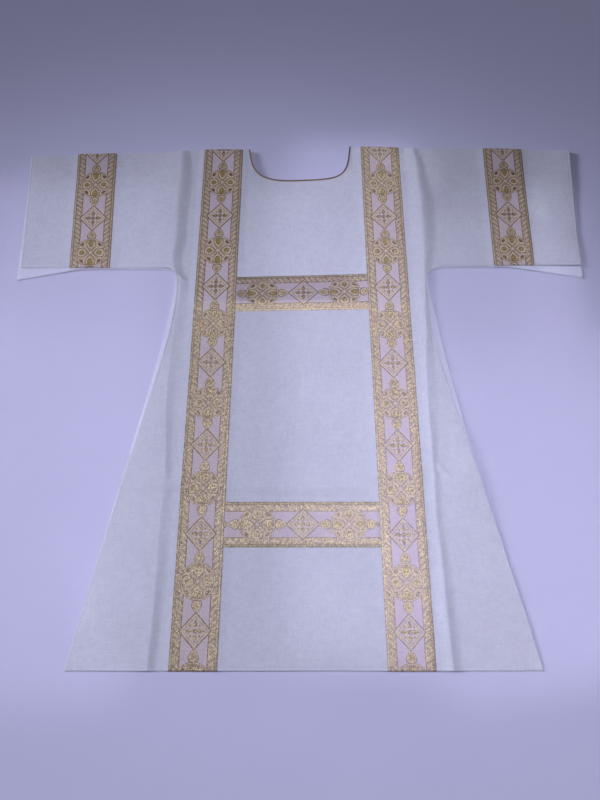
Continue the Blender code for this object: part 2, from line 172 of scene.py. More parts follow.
def ivoryMaterial():
    finish, tree, shader = newMaterial(
        "plain_woven_wool_ivory", Roughness=ivory["roughness"], Sheen_Weight=ivory["sheen"],
        Sheen_Roughness=ivory["sheenSpread"],
    )
    place = addNode(tree, "ShaderNodeTexCoord").outputs["Object"]
    known = {}
    thin, long = 1 / ivory["threadSpacing"], 1 / ivory["slubLength"]
    for name, scale in (("warp", (thin, long, long)), ("weft", (long, thin, long))):
        stretched = addNode(tree, "ShaderNodeMapping", {"Vector": place, "Scale": scale})
        known[name] = addNode(
            tree, "ShaderNodeTexNoise", {"Vector": stretched.outputs[0], "Scale": 1.0, "Detail": 1.0}
        ).outputs[0]
    known["cloud"] = addNode(
        tree, "ShaderNodeTexNoise", {"Vector": place, "Scale": ivory["clouds"], "Detail": 4.0}
    ).outputs[0]
    known["mottle"] = addNode(
        tree, "ShaderNodeTexNoise",
        {"Vector": place, "Scale": 1 / ivory["mottle"], "Detail": 3.0, "Roughness": 0.62},
    ).outputs[0]
    addSums(tree, known, [
        ("threads", "ADD", "warp", "weft"),
        ("tint", "MULTIPLY_ADD", "threads", ivory["threadShare"], ivory["start"]),
        ("mixed", "MULTIPLY_ADD", "cloud", ivory["cloudShare"], "tint"),
        ("shade", "MULTIPLY_ADD", "mottle", ivory["mottleShare"], "mixed"),
        ("swell", "MULTIPLY", "mottle", ivory["mottleDepth"] / ivory["threadDepth"]),
        ("surface", "ADD", "threads", "swell"),
    ])
    base = addNode(
        tree, "ShaderNodeMix", {0: known["shade"], 6: colour(ivory["dark"]), 7: colour(ivory["light"])},
        data_type="RGBA",
    ).outputs[2]
    bump = addNode(tree, "ShaderNodeBump", {
        "Height": known["surface"], "Distance": ivory["threadDepth"], "Strength": 1.0,
    })
    tree.links.new(base, shader.inputs["Base Color"])
    tree.links.new(bump.outputs[0], shader.inputs["Normal"])
    return finish


# Lining: white polyester satin. Smooth, with a soft broad gloss and slight ripples along the warp.
satin = {
    "light": "#FFFFFF", "dark": "#F3F3FB", "roughness": 0.38, "sheen": 0.15, "sheenSpread": 0.35,
    "ripple": 0.011, "rippleDepth": 0.0007,
}


def satinMaterial():
    finish, tree, shader = newMaterial(
        "polyester_satin_white", Roughness=satin["roughness"], Sheen_Weight=satin["sheen"],
        Sheen_Roughness=satin["sheenSpread"],
    )
    place = addNode(tree, "ShaderNodeTexCoord").outputs["Object"]
    scale = (1 / satin["ripple"], 0.25 / satin["ripple"], 1)
    stretched = addNode(tree, "ShaderNodeMapping", {"Vector": place, "Scale": scale}).outputs[0]
    ripple = addNode(
        tree, "ShaderNodeTexNoise", {"Vector": stretched, "Scale": 1.0, "Detail": 2.0}
    ).outputs[0]
    base = addNode(
        tree, "ShaderNodeMix", {0: ripple, 6: colour(satin["dark"]), 7: colour(satin["light"])},
        data_type="RGBA",
    ).outputs[2]
    bump = addNode(
        tree, "ShaderNodeBump", {"Height": ripple, "Distance": satin["rippleDepth"], "Strength": 0.6}
    )
    tree.links.new(base, shader.inputs["Base Color"])
    tree.links.new(bump.outputs[0], shader.inputs["Normal"])
    return finish


# Galloon: jacquard ribbon of pale rayon and gold lurex. Its gold threads get painted glints in specks.
# Lengths here are in ribbon widths, across from its middle and along from a roundel's middle.
galloon = {
    "field": "#E1D0C9", "outline": "#84694C", "tan": "#D0B588", "strand": "#E4CFA9", "leaf": "#DAC5A4",
    # The glint colour is a painted highlight, the yellow of a gold thread catching the lamp
    "heart": "#B09850", "rose": "#E0CEC2", "glint": "#FFEFA8", "dull": "#9C8260", "rail": "#CDBB94",
    # Then the even colour that painted glare washes the figure towards, and a painted lilac sheen for the
    # pale silk
    "braid": "#B49C78", "turned": "#B8A27E", "bloom": "#D6CCF4",
    "roundel": (0.380, 0.405), "lozenge": (0.335, 0.365), "bead": (0.104, 0.140, 0.520),
    "ropeEdge": 0.296, "railEdge": 0.432, "strokes": 7.6, "slant": 0.42,
    "cells": 46, "glints": 0.74, "gold": 0.25,        # thread cells across, how rare glints are, metal
    "relief": 0.0005,
    # Where glare is painted on the gold threads, in metres on the garment: below the upper
    # cross fold, more so towards the right side and the hem, and at the top of the right clavus.
    "paintedGlareFold": 0.173, "paintedGlareSoft": 0.009, "paintedGlareSide": (-0.33, 0.28), "paintedGlareDown": (0.85, -0.45),
    "paintedGlareEnd": (0.42, 0.33), "crestFade": 0.13, "sparkleDown": (0.440, 0.475),
    "sparkleSide": (0.08, 0.16),
}


def ovalRows(name, along, across, middle, length, girth, taper=0.0, acrossMiddle=0.0):
    # an oval that measures one at its edge, where from is the way along from its middle:
    # sqrt((across / (girth + taper * from))^2 + (from / length)^2)
    away, aside, wide = name + "From", name + "Aside", name + "Wide"
    far, square = name + "Far", name + "Square"
    return [
        (away, "SUBTRACT", along, middle),
        (aside, "SUBTRACT", across, acrossMiddle),
        (wide, "MULTIPLY_ADD", away, taper, girth),
        (wide, "DIVIDE", aside, wide),
        (far, "DIVIDE", away, length),
        (square, "MULTIPLY", far, far),
        (square, "MULTIPLY_ADD", wide, wide, square),
        (name, "SQRT", square),
    ]


def galloonMaterial():
    finish, tree, shader = newMaterial("gold_lurex_jacquard_galloon")
    g = galloon
    uv = addNode(tree, "ShaderNodeUVMap", uv_map="ribbon").outputs[0]
    split = addNode(tree, "ShaderNodeSeparateXYZ", {0: uv}).outputs
    known = addSums(tree, {"across": split[0], "along": split[1]}, [
        ("a", "ABSOLUTE", "across"),
        ("b", "PINGPONG", "along", 1.0),
        # roundel: one at its rim; p and q run along and across its nearest petal
        ("ra", "DIVIDE", "a", g["roundel"][0]),
        ("rb", "DIVIDE", "b", g["roundel"][1]),
        ("p", "MAXIMUM", "ra", "rb"),
        ("q", "MINIMUM", "ra", "rb"),
        ("pp", "MULTIPLY", "p", "p"),
        ("rr", "MULTIPLY_ADD", "q", "q", "pp"),
        ("roundel", "SQRT", "rr"),
        *ovalRows("petal", "p", "q", 0.56, 0.36, 0.310, taper=0.30),
        ("halo", "DIVIDE", "petal", 2.4),
        ("rayFar", "SUBTRACT", "p", "q"),
        ("ray", "DIVIDE", "rayFar", 0.13),
        # drop: the heart of the two petals that point along the ribbon
        *ovalRows("drop", "b", "a", 0.255, 0.098, 0.070, taper=0.22),
        # trefoil: a spot on the diagonal between two petals
        *ovalRows("trefoil", "p", "q", 0.60, 0.17, 0.17, acrossMiddle=0.54),
        # bead: an oval that tapers to the lozenge's point
        *ovalRows("bead", "b", "a", g["bead"][2], g["bead"][1], g["bead"][0], taper=-0.42),
        # lozenge: one at its edge; m and n run along and across the nearest arm of its cross
        ("la", "DIVIDE", "a", g["lozenge"][0]),
        ("away", "SUBTRACT", 1.0, "b"),
        ("lb", "DIVIDE", "away", g["lozenge"][1]),
        ("lozenge", "ADD", "la", "lb"),
        ("m", "MAXIMUM", "la", "lb"),
        ("n", "MINIMUM", "la", "lb"),
        *ovalRows("arm", "m", "n", 0.42, 0.22, 0.120, taper=-0.40),
        *ovalRows("dot", "m", "n", 0.29, 0.12, 0.12, acrossMiddle=0.29),
        ("middle", "DIVIDE", "m", 0.12),
        ("stem", "DIVIDE", "n", 0.045),
        # rope: slanted leaves between two lines
        ("ropeFrom", "SUBTRACT", "a", (g["ropeEdge"] + g["railEdge"]) / 2),
        ("w", "DIVIDE", "ropeFrom", (g["railEdge"] - g["ropeEdge"]) / 2),
        ("slanted", "MULTIPLY", "w", g["slant"]),
        ("phase", "MULTIPLY_ADD", "along", g["strokes"], "slanted"),
        ("stroke", "PINGPONG", "phase", 0.5),
        ("ww", "MULTIPLY", "w", "w"),
        ("leafRoom", "MULTIPLY_ADD", "ww", 0.16, 0.10),
        ("rope", "DIVIDE", "leafRoom", "stroke"),
    ])
    # Figures from the ground up: the measure, below what value it shows, and the rings' colours.
    # The last number of a ring is how much gold thread it holds.
    figures = [
        ("a", 9.0, [
            (0.0, g["field"], 0.22), (0.278, g["outline"], 0.3), (0.293, g["braid"], 0.8),
            (0.430, g["dull"], 0.5), (0.446, g["rail"], 0.9), (0.484, g["outline"], 0.5),
        ]),
        ("rope", 1.0, [(0.0, g["leaf"], 0.8), (0.66, g["braid"], 1.0), (0.90, g["outline"], 0.5)]),
        ("lozenge", 1.06, [
            (0.0, g["rose"], 0.3), (0.74, g["dull"], 0.5), (0.78, g["strand"], 0.5),
            (0.96, g["outline"], 0.4),
        ]),
        ("stem", 1.0, [(0.0, g["dull"], 0.8)]),
        ("arm", 1.0, [(0.0, g["heart"], 1.0), (0.55, g["dull"], 0.8)]),
        ("dot", 1.0, [(0.0, g["dull"], 0.5), (0.5, g["strand"], 0.3)]),
        ("middle", 1.0, [(0.0, g["dull"], 0.8)]),
        ("roundel", 1.0, [
            (0.0, g["strand"], 0.3), (0.11, g["dull"], 0.3), (0.17, g["tan"], 0.6),
            (0.87, g["dull"], 0.5), (0.91, g["strand"], 0.8), (0.970, g["outline"], 0.4),
        ]),
        ("halo", 1.0, [
            (0.0, g["tan"], 0.6), (0.43, g["strand"], 0.8), (0.52, g["dull"], 0.6),
            (0.58, g["strand"], 0.8), (0.67, g["dull"], 0.6), (0.73, g["tan"], 0.8),
        ]),
        ("ray", 1.0, [(0.0, g["strand"], 0.5), (0.52, g["dull"], 0.6)]),
        ("trefoil", 1.0, [(0.0, g["outline"], 0.7), (0.60, g["strand"], 0.6)]),
        ("petal", 1.0, [
            (0.0, g["heart"], 1.0), (0.36, g["outline"], 0.7), (0.48, g["strand"], 0.8),
            (0.84, g["dull"], 0.6),
        ]),
        ("drop", 1.0, [(0.0, g["heart"], 1.0), (0.84, g["outline"], 0.7)]),
        ("bead", 1.0, [
            (0.0, g["heart"], 1.0), (0.26, g["tan"], 1.0), (0.50, g["dull"], 0.8), (0.60, g["strand"], 0.8),
            (0.84, g["outline"], 0.5),
        ]),
    ]
    addSums(tree, known, [
        ("ropeIn", "GREATER_THAN", "a", g["ropeEdge"]),
        ("ropeOut", "LESS_THAN", "a", g["railEdge"] - 0.004),
        ("inRope", "MULTIPLY", "ropeIn", "ropeOut"),
        ("inLozenge", "LESS_THAN", "lozenge", 0.76),
        ("inRoundel", "LESS_THAN", "roundel", 0.87),
        ("petalStart", "GREATER_THAN", "roundel", 0.16),
        ("inPetal", "MULTIPLY", "inRoundel", "petalStart"),
        ("rayEnd", "LESS_THAN", "roundel", 0.72),
        ("inRay", "MULTIPLY", "rayEnd", "petalStart"),
        ("stemEnd", "LESS_THAN", "m", 0.62),
        ("inStem", "MULTIPLY", "inLozenge", "stemEnd"),
    ])
    within = {
        "rope": "inRope", "arm": "inLozenge", "dot": "inLozenge", "middle": "inLozenge",
        "trefoil": "inRoundel", "petal": "inPetal", "halo": "inPetal", "stem": "inStem", "ray": "inRay",
        "drop": "inRoundel",
    }
    paint = gold = None
    for measure, limit, rings in figures:
        ramp = addNode(tree, "ShaderNodeValToRGB", {0: known[measure]})
        setRamp(ramp, rings)
        if paint is None:
            paint, gold = ramp.outputs
            continue
        rows = [("shows", "LESS_THAN", measure, limit)]
        if measure in within:
            rows.append(("shows", "MULTIPLY", "shows", within[measure]))
        shows = addSums(tree, known, rows)["shows"]
        paint = addNode(
            tree, "ShaderNodeMix", {0: shows, 6: paint, 7: ramp.outputs[0]}, data_type="RGBA"
        ).outputs[2]
        gold = addNode(tree, "ShaderNodeMix", {0: shows, 2: gold, 3: ramp.outputs[1]}).outputs[0]
    # Where glare is painted on the threads, and by how much
    place = addNode(tree, "ShaderNodeTexCoord").outputs["Object"]
    across, down = addNode(tree, "ShaderNodeSeparateXYZ", {0: place}).outputs[:2]
    fold, soft = g["paintedGlareFold"], g["paintedGlareSoft"]
    # painted glare: masks by place, strongest below the upper cross fold, to the right and towards the hem
    for name, value, start, end in (
        ("turned", down, fold + soft, fold - soft), ("side", across, *g["paintedGlareSide"]),
        ("end", across, *g["paintedGlareEnd"]), ("low", down, *g["paintedGlareDown"]),
        ("past", down, fold, fold - g["crestFade"]),
        ("top", down, *g["sparkleDown"]), ("rightwards", across, *g["sparkleSide"]),
    ):
        known[name] = addNode(
            tree, "ShaderNodeMapRange", {"Value": value, "From Min": start, "From Max": end},
            interpolation_type="SMOOTHSTEP",
        ).outputs[0]
    # Thread cells: some get a painted glint, some are dull
    scaled = addNode(
        tree, "ShaderNodeVectorMath", {0: uv, 1: (g["cells"], g["cells"], 1)}, operation="MULTIPLY"
    ).outputs[0]
    cell = addNode(tree, "ShaderNodeVectorMath", {0: scaled}, operation="FLOOR").outputs[0]
    known["chance"] = addNode(
        tree, "ShaderNodeTexWhiteNoise", {"Vector": cell}, noise_dimensions="2D"
    ).outputs["Value"]
    known.update({"gold": gold, "acrossCloth": across, "downCloth": down})
    addSums(tree, known, [
        ("rightClavus", "MULTIPLY", "rightwards", "end"),
        ("topGain", "MULTIPLY_ADD", "top", 0.30, 0.40),
        ("sparkle", "MULTIPLY", "rightClavus", "topGain"),
        ("turned", "MAXIMUM", "turned", "sparkle"),
        ("bright", "GREATER_THAN", "chance", g["glints"]),
        ("glint", "MULTIPLY", "bright", "gold"),
        ("sideEnd", "MULTIPLY", "side", "end"),
        ("sideLow", "MULTIPLY", "sideEnd", "low"),
        ("glintLow", "MULTIPLY_ADD", "sideLow", 0.25, 0.17),
        ("crest", "MULTIPLY_ADD", "past", -1.0, 1.0),
        ("crested", "MULTIPLY", "crest", "turned"),
        ("glintCrest", "MULTIPLY_ADD", "crested", 0.32, "glintLow"),
        ("glintWithGlare", "MULTIPLY_ADD", "turned", 0.48, "glintCrest"),
        # the cross bands: painted shade above the fold, painted highlight just below it
        ("wide", "SUBTRACT", "acrossCloth", 0.0025),
        ("wideApart", "ABSOLUTE", "wide"),
        ("clavusAt", "MULTIPLY_ADD", "downCloth", -0.0156, 0.1479),
        ("crosswise", "LESS_THAN", "wideApart", "clavusAt"),
        ("withoutPaintedGlare", "SUBTRACT", 1.0, "turned"),
        ("crossDark", "MULTIPLY", "crosswise", "withoutPaintedGlare"),
        ("crossGain", "MULTIPLY_ADD", "crosswise", 0.24, 0.17),
        # how much of the colour is a painted glint
        ("glintShare", "MULTIPLY", "glint", "glintWithGlare"),
        # painted glare: the figure washed towards one even colour, its grain roughened
        ("paintedGlare", "MULTIPLY", "turned", 0.62),
        ("goldPaintedGlare", "MULTIPLY", "paintedGlare", "gold"),
        ("rough", "MULTIPLY_ADD", "turned", 0.12, 0.60),
        ("even", "SUBTRACT", "chance", 0.5),
        ("shadeOf", "MULTIPLY", "even", "rough"),
        ("grain", "MULTIPLY_ADD", "shadeOf", "gold", 1.0),
        # painted light and shade scale the colour: lighter low on the right and just below the fold, darker
        # on the cross bands above it
        ("litLow", "MULTIPLY_ADD", "sideLow", 0.20, "grain"),
        ("litCrest", "MULTIPLY_ADD", "crested", "crossGain", "litLow"),
        ("lit", "MULTIPLY_ADD", "crossDark", -0.27, "litCrest"),
        # painted sheen: a lilac tint on the pale silk, low on the right, standing in for the lamp's
        # reflection
        ("silk", "SUBTRACT", 1.0, "gold"),
        ("silkLow", "MULTIPLY", "silk", "sideLow"),
        ("paintedSheenShare", "MULTIPLY", "silkLow", 0.36),
        ("metal", "MULTIPLY", "gold", g["gold"]),
        ("gloss", "MULTIPLY_ADD", "gold", -0.16, 0.62),
    ])
    # The colour: washed by painted glare, scaled by painted light and shade, with painted sheen on the silk
    # and painted glints on the gold
    evened = addNode(
        tree, "ShaderNodeMix", {0: known["goldPaintedGlare"], 6: paint, 7: colour(g["turned"])}, data_type="RGBA"
    ).outputs[2]
    grainAndPaintedLight = addNode(
        tree, "ShaderNodeVectorMath", {0: evened, 3: known["lit"]}, operation="SCALE"
    ).outputs[0]
    withPaintedSheen = addNode(
        tree, "ShaderNodeMix", {0: known["paintedSheenShare"], 6: grainAndPaintedLight, 7: colour(g["bloom"])}, data_type="RGBA"
    ).outputs[2]
    base = addNode(
        tree, "ShaderNodeMix", {0: known["glintShare"], 6: withPaintedSheen, 7: colour(g["glint"])}, data_type="RGBA"
    ).outputs[2]
    known["threads"] = addNode(
        tree, "ShaderNodeTexNoise", {"Vector": scaled, "Scale": 0.9, "Detail": 1.0}
    ).outputs[0]
    addSums(tree, known, [("goldHeight", "MULTIPLY_ADD", "gold", 0.5, "threads")])
    bump = addNode(
        tree, "ShaderNodeBump", {"Height": known["goldHeight"], "Distance": g["relief"], "Strength": 0.7}
    )
    for socket, value in (
        ("Base Color", base), ("Metallic", known["metal"]), ("Roughness", known["gloss"]),
        ("Normal", bump.outputs[0]),
    ):
        tree.links.new(value, shader.inputs[socket])
    return finish


# Piping: gold lurex cord, twisted. A dull yellow metal, lighter on each turn's crown, with painted shade in
# the grooves between turns.
# The right side of the neck stands up a little; painted shade darkens its cord there.
cord = {
    "light": "#B8965A", "dark": "#725838", "roughness": 0.40, "metal": 0.55,
    "pitch": 0.0042, "radius": 0.0016, "sides": 12, "relief": 0.0003,
    "shade": "#2A2416", "shadeFrom": 0.095, "shadeTo": 0.112, "shadeShare": 0.72,
}


def cordMaterial():
    finish, tree, shader = newMaterial(
        "twisted_gold_cord", Roughness=cord["roughness"], Metallic=cord["metal"]
    )
    uv = addNode(tree, "ShaderNodeUVMap", uv_map="cord").outputs[0]
    split = addNode(tree, "ShaderNodeSeparateXYZ", {0: uv}).outputs
    known = addSums(tree, {"round": split[0], "along": split[1]}, [
        ("twist", "MULTIPLY_ADD", "along", 2 / cord["pitch"], "round"),
        ("strand", "PINGPONG", "twist", 0.5),
        ("lit", "MULTIPLY", "strand", 2.0),
    ])
    # painted shade: darker colour in the grooves of the twist, lighter on the crowns
    turned = addNode(
        tree, "ShaderNodeMix", {0: known["lit"], 6: colour(cord["dark"]), 7: colour(cord["light"])},
        data_type="RGBA",
    ).outputs[2]
    # painted shade: the cord darkens towards the right side of the neck
    place = addNode(tree, "ShaderNodeTexCoord").outputs["Object"]
    across = addNode(tree, "ShaderNodeSeparateXYZ", {0: place}).outputs[0]
    shaded = addNode(tree, "ShaderNodeMapRange", {
        "Value": across, "From Min": cord["shadeFrom"], "From Max": cord["shadeTo"],
        "To Max": cord["shadeShare"],
    }).outputs[0]
    base = addNode(
        tree, "ShaderNodeMix", {0: shaded, 6: turned, 7: colour(cord["shade"])}, data_type="RGBA"
    ).outputs[2]
    bump = addNode(
        tree, "ShaderNodeBump", {"Height": known["lit"], "Distance": cord["relief"], "Strength": 0.6}
    )
    tree.links.new(base, shader.inputs["Base Color"])
    tree.links.new(bump.outputs[0], shader.inputs["Normal"])
    return finish


# Sewing thread: twisted polyester, a little glossier than the cloth
sewing = {"light": "#F0F0EC", "dark": "#D9D9D6", "fibre": 0.0004, "roughness": 0.55}


def threadMaterial():
    finish, tree, shader = newMaterial("polyester_sewing_thread", Roughness=sewing["roughness"])
    place = addNode(tree, "ShaderNodeTexCoord").outputs["Object"]
    fibre = addNode(tree, "ShaderNodeTexNoise", {"Vector": place, "Scale": 1 / sewing["fibre"]}).outputs[0]
    base = addNode(
        tree, "ShaderNodeMix", {0: fibre, 6: colour(sewing["dark"]), 7: colour(sewing["light"])},
        data_type="RGBA",
    ).outputs[2]
    tree.links.new(base, shader.inputs["Base Color"])
    return finish


# Floor: smooth painted board, matt, with faint clouding
def floorMaterial():
    finish, tree, shader = newMaterial("matt_painted_board", Roughness=floor["roughness"])
    place = addNode(tree, "ShaderNodeTexCoord").outputs["Object"]
    cloud = addNode(
        tree, "ShaderNodeTexNoise", {"Vector": place, "Scale": floor["clouds"], "Detail": 5.0}
    ).outputs[0]
    base = addNode(
        tree, "ShaderNodeMix", {0: cloud, 6: colour(floor["shade"]), 7: colour(floor["colour"])},
        data_type="RGBA",
    ).outputs[2]
    tree.links.new(base, shader.inputs["Base Color"])
    return finish


def addFloor():
    h, z = floor["half"], -floor["drop"]
    mesh = bpy.data.meshes.new("floor")
    mesh.from_pydata([(-h, -h, z), (h, -h, z), (h, h, z), (-h, h, z)], [], [(0, 1, 2, 3)])
    mesh.materials.append(floorMaterial())
    board = bpy.data.objects.new("floor", mesh)
    bpy.context.collection.objects.link(board)


addCamera()
addLight()
addFloor()
print("stage: camera, lamps and floor")

# Garment sizes in metres: x runs across from the centre line, v down from the shoulder line
garment = {
    "clothWall": 0.0012, "trimWall": 0.0010, "gap": 0.0003,
    "centreX": -0.0025, "centreV": 0.5744,                    # middle of the box
    "length": 1.155, "galloon": 0.090,
    "clavusTop": 0.139, "clavusHem": 0.157,                   # clavus's inner edge, shoulder and hem
    "neckDepth": 0.0895, "neckFlare": 0.006,
    "upperBand": (0.3366, 0.4220), "upperSlopes": (-0.028, -0.014),
    "lowerBand": (0.8415, 0.9305),
    "softFold": 0.0015, "softFoldReach": 0.030,
    "hemInset": 0.0046,                                       # topstitching, from the edge
    "settle": (0.86, 0.95),                                   # the front settles onto the back from v to v
    # hemmed edges lie thin and low: how far they sink, and their share of the wall
    "edgeDrop": {"front": 0.0008, "back": 0.0005}, "edgeWall": 0.15,
}
trimStep = garment["trimWall"] + garment["gap"]
backMid = garment["clothWall"] / 2
panelSpacing = garment["clothWall"] + garment["trimWall"] + 2 * garment["gap"]
trimLift = garment["clothWall"] / 2 + garment["gap"] + garment["trimWall"] / 2

# The shoulder and sleeve-top fold as it lies, from cuff to cuff: x, v
foldLine = np.array([
    (-0.638, 0.0216), (-0.514, 0.0160), (-0.352, 0.0106), (-0.312, 0.0083), (-0.262, 0.0032),
    (-0.120, 0.0040), (0.116, -0.0045), (0.277, -0.0028), (0.427, -0.0002), (0.541, 0.0026),
    (0.633, 0.0052),
])

# Each half's outline: what both layers share, and what differs between front and back
halves = {
    "left": {
        "sign": -1, "neck": 0.1254, "cuffTop": 0.638, "hemHalf": 0.4413, "neckRoundness": 3.2,
        "front": {
            "cuffLow": 0.6262, "sleeveLow": 0.3176, "droopFrom": 0.494, "droop": 0.000,
            "underarmX": 0.277, "underarmRadius": 0.030, "sideBow": 0.0165, "bowReach": 0.17,
        },
        "back": {
            "cuffLow": 0.6313, "sleeveLow": 0.3206, "droopFrom": 0.494, "droop": 0.027,
            "underarmX": 0.277, "underarmRadius": 0.030, "sideBow": 0.0075, "bowReach": 0.20,
        },
    },
    "right": {
        "sign": 1, "neck": 0.1160, "cuffTop": 0.633, "hemHalf": 0.4478, "neckRoundness": 4.0,
        "front": {
            "cuffLow": 0.6207, "sleeveLow": 0.3115, "droopFrom": 0.459, "droop": 0.000,
            "underarmX": 0.271, "underarmRadius": 0.050, "sideBow": 0.0170, "bowReach": 0.17,
        },
        "back": {
            "cuffLow": 0.6240, "sleeveLow": 0.3145, "droopFrom": 0.459, "droop": 0.027,
            "underarmX": 0.279, "underarmRadius": 0.034, "sideBow": 0.0120, "bowReach": 0.35,
        },
    },
}
sleeveBands = {"left": (0.437, 0.427), "right": (0.4285, 0.4277)}     # inner edge at the fold, at the edge

# Press creases down the panel. Columns: v, x, height, width on the left, width on the right, and
# how far the right slope is drawn out from a sharp crest to an S
pressCreases = {
    "left": np.array([
        (0.000, -0.2830, 0.0045, 0.060, 0.030, 1.0), (0.046, -0.2834, 0.0055, 0.070, 0.030, 1.0),
        (0.087, -0.2835, 0.0060, 0.080, 0.034, 1.0), (0.142, -0.2864, 0.0068, 0.080, 0.032, 1.0),
        (0.195, -0.2871, 0.0068, 0.080, 0.030, 1.0), (0.248, -0.2855, 0.0064, 0.080, 0.028, 1.0),
        (0.289, -0.2902, 0.0056, 0.060, 0.024, 1.0), (0.336, -0.2787, 0.0042, 0.030, 0.022, 1.0),
        (0.361, -0.2688, 0.0030, 0.020, 0.018, 1.0), (0.420, -0.2700, 0.0008, 0.030, 0.016, 0.5),
        (0.550, -0.2790, 0.0015, 0.040, 0.016, 0.3), (0.629, -0.2815, 0.0028, 0.050, 0.016, 0.2),
        (0.736, -0.2755, 0.0036, 0.050, 0.014, 0.2), (0.788, -0.2750, 0.0036, 0.050, 0.014, 0.2),
        (0.878, -0.2780, 0.0022, 0.050, 0.020, 0.2), (0.955, -0.2785, 0.0030, 0.060, 0.018, 0.3),
        (1.029, -0.2795, 0.0036, 0.060, 0.016, 0.3), (1.101, -0.2825, 0.0048, 0.060, 0.015, 0.4),
        (1.155, -0.2850, 0.0050, 0.060, 0.015, 0.4),
    ]),
    "right": np.array([
        (0.000, 0.2604, 0.0045, 0.040, 0.024, 1.0), (0.046, 0.2678, 0.0056, 0.045, 0.024, 1.0),
        (0.087, 0.2681, 0.0064, 0.045, 0.028, 1.0), (0.142, 0.2725, 0.0078, 0.048, 0.036, 1.0),
        (0.195, 0.2717, 0.0076, 0.048, 0.036, 1.0), (0.248, 0.2728, 0.0070, 0.048, 0.032, 1.0),
        (0.289, 0.2722, 0.0056, 0.045, 0.026, 1.0), (0.350, 0.2700, 0.0050, 0.040, 0.014, 0.8),
        (0.398, 0.2670, 0.0050, 0.040, 0.012, 0.6), (0.470, 0.2665, 0.0052, 0.036, 0.016, 0.6),
        (0.539, 0.2625, 0.0048, 0.034, 0.024, 0.4), (0.629, 0.2610, 0.0048, 0.030, 0.026, 0.1),
        (0.736, 0.2635, 0.0056, 0.028, 0.014, 0.5), (0.778, 0.2640, 0.0050, 0.028, 0.014, 0.4),
        (0.878, 0.2640, 0.0042, 0.028, 0.015, 0.2), (0.955, 0.2690, 0.0060, 0.028, 0.018, 0.0),
        (1.029, 0.2710, 0.0070, 0.028, 0.020, 0.0), (1.101, 0.2745, 0.0070, 0.030, 0.020, 0.0),
        (1.155, 0.2775, 0.0070, 0.030, 0.020, 0.0),
    ]),
}
# The crease across the skirt. Columns: x, v, height, width above, width below, softness below
crossCrease = np.array([
    (-0.430, 0.8130, 0.0012, 0.030, 0.012, 0.5), (-0.363, 0.8120, 0.0026, 0.034, 0.014, 0.6),
    (-0.323, 0.8120, 0.0028, 0.034, 0.014, 0.6), (-0.290, 0.8130, 0.0034, 0.034, 0.016, 0.5),
    (-0.267, 0.8060, 0.0040, 0.034, 0.018, 0.5), (-0.236, 0.8110, 0.0030, 0.034, 0.018, 0.5),
    (-0.114, 0.8110, 0.0022, 0.036, 0.018, 0.6), (0.006, 0.8150, 0.0022, 0.036, 0.018, 0.6),
    (0.125, 0.8090, 0.0022, 0.036, 0.018, 0.6), (0.225, 0.7980, 0.0020, 0.034, 0.016, 0.6),
    (0.262, 0.7620, 0.0045, 0.026, 0.014, 0.6), (0.278, 0.7720, 0.0050, 0.026, 0.014, 0.6),
    (0.297, 0.7960, 0.0042, 0.028, 0.013, 0.6), (0.315, 0.8000, 0.0036, 0.030, 0.013, 0.6),
    (0.345, 0.8060, 0.0030, 0.030, 0.013, 0.6), (0.375, 0.8120, 0.0024, 0.030, 0.013, 0.6),
    (0.430, 0.8150, 0.0004, 0.030, 0.013, 0.6),
])
crestRound = 0.0012
# How the cloth lies beside strips, hems and creases, in metres. The back takes a share of the front's
# large creases, eased in below the fold.
lie = {
    "besideStrip": 0.016, "sleeveBandsEnd": 0.36,
    "hemBulge": 0.00030, "stitchSink": 0.00045, "stitchGroove": 0.0013,
    "reliefLowest": -0.0008, "frontLowest": -0.0002, "backShare": 0.25, "backShareFrom": 0.03,
}

# Soft swells, mostly where an edge stands off: x, v, half width, half length, height
swells = [
    (0.358, 0.7500, 0.045, 0.080, 0.0045), (0.283, 0.5000, 0.040, 0.120, 0.0025),
    (-0.126, 0.0500, 0.045, 0.045, 0.0040), (0.120, 0.0350, 0.035, 0.060, 0.0025),
    (0.632, 0.0400, 0.050, 0.110, 0.0040), (0.330, 0.0700, 0.050, 0.045, 0.0030),
    (0.600, 0.2900, 0.060, 0.060, 0.0030), (-0.610, 0.2900, 0.070, 0.060, 0.0012),
    (-0.600, 0.0600, 0.060, 0.080, 0.0025), (-0.310, 0.4300, 0.040, 0.130, 0.0025),
    (-0.400, 1.0000, 0.060, 0.120, 0.0020), (0.020, 0.6200, 0.110, 0.160, 0.0020),
    (-0.020, 0.2200, 0.090, 0.080, 0.0020), (0.010, 1.0500, 0.110, 0.090, 0.0020),
]
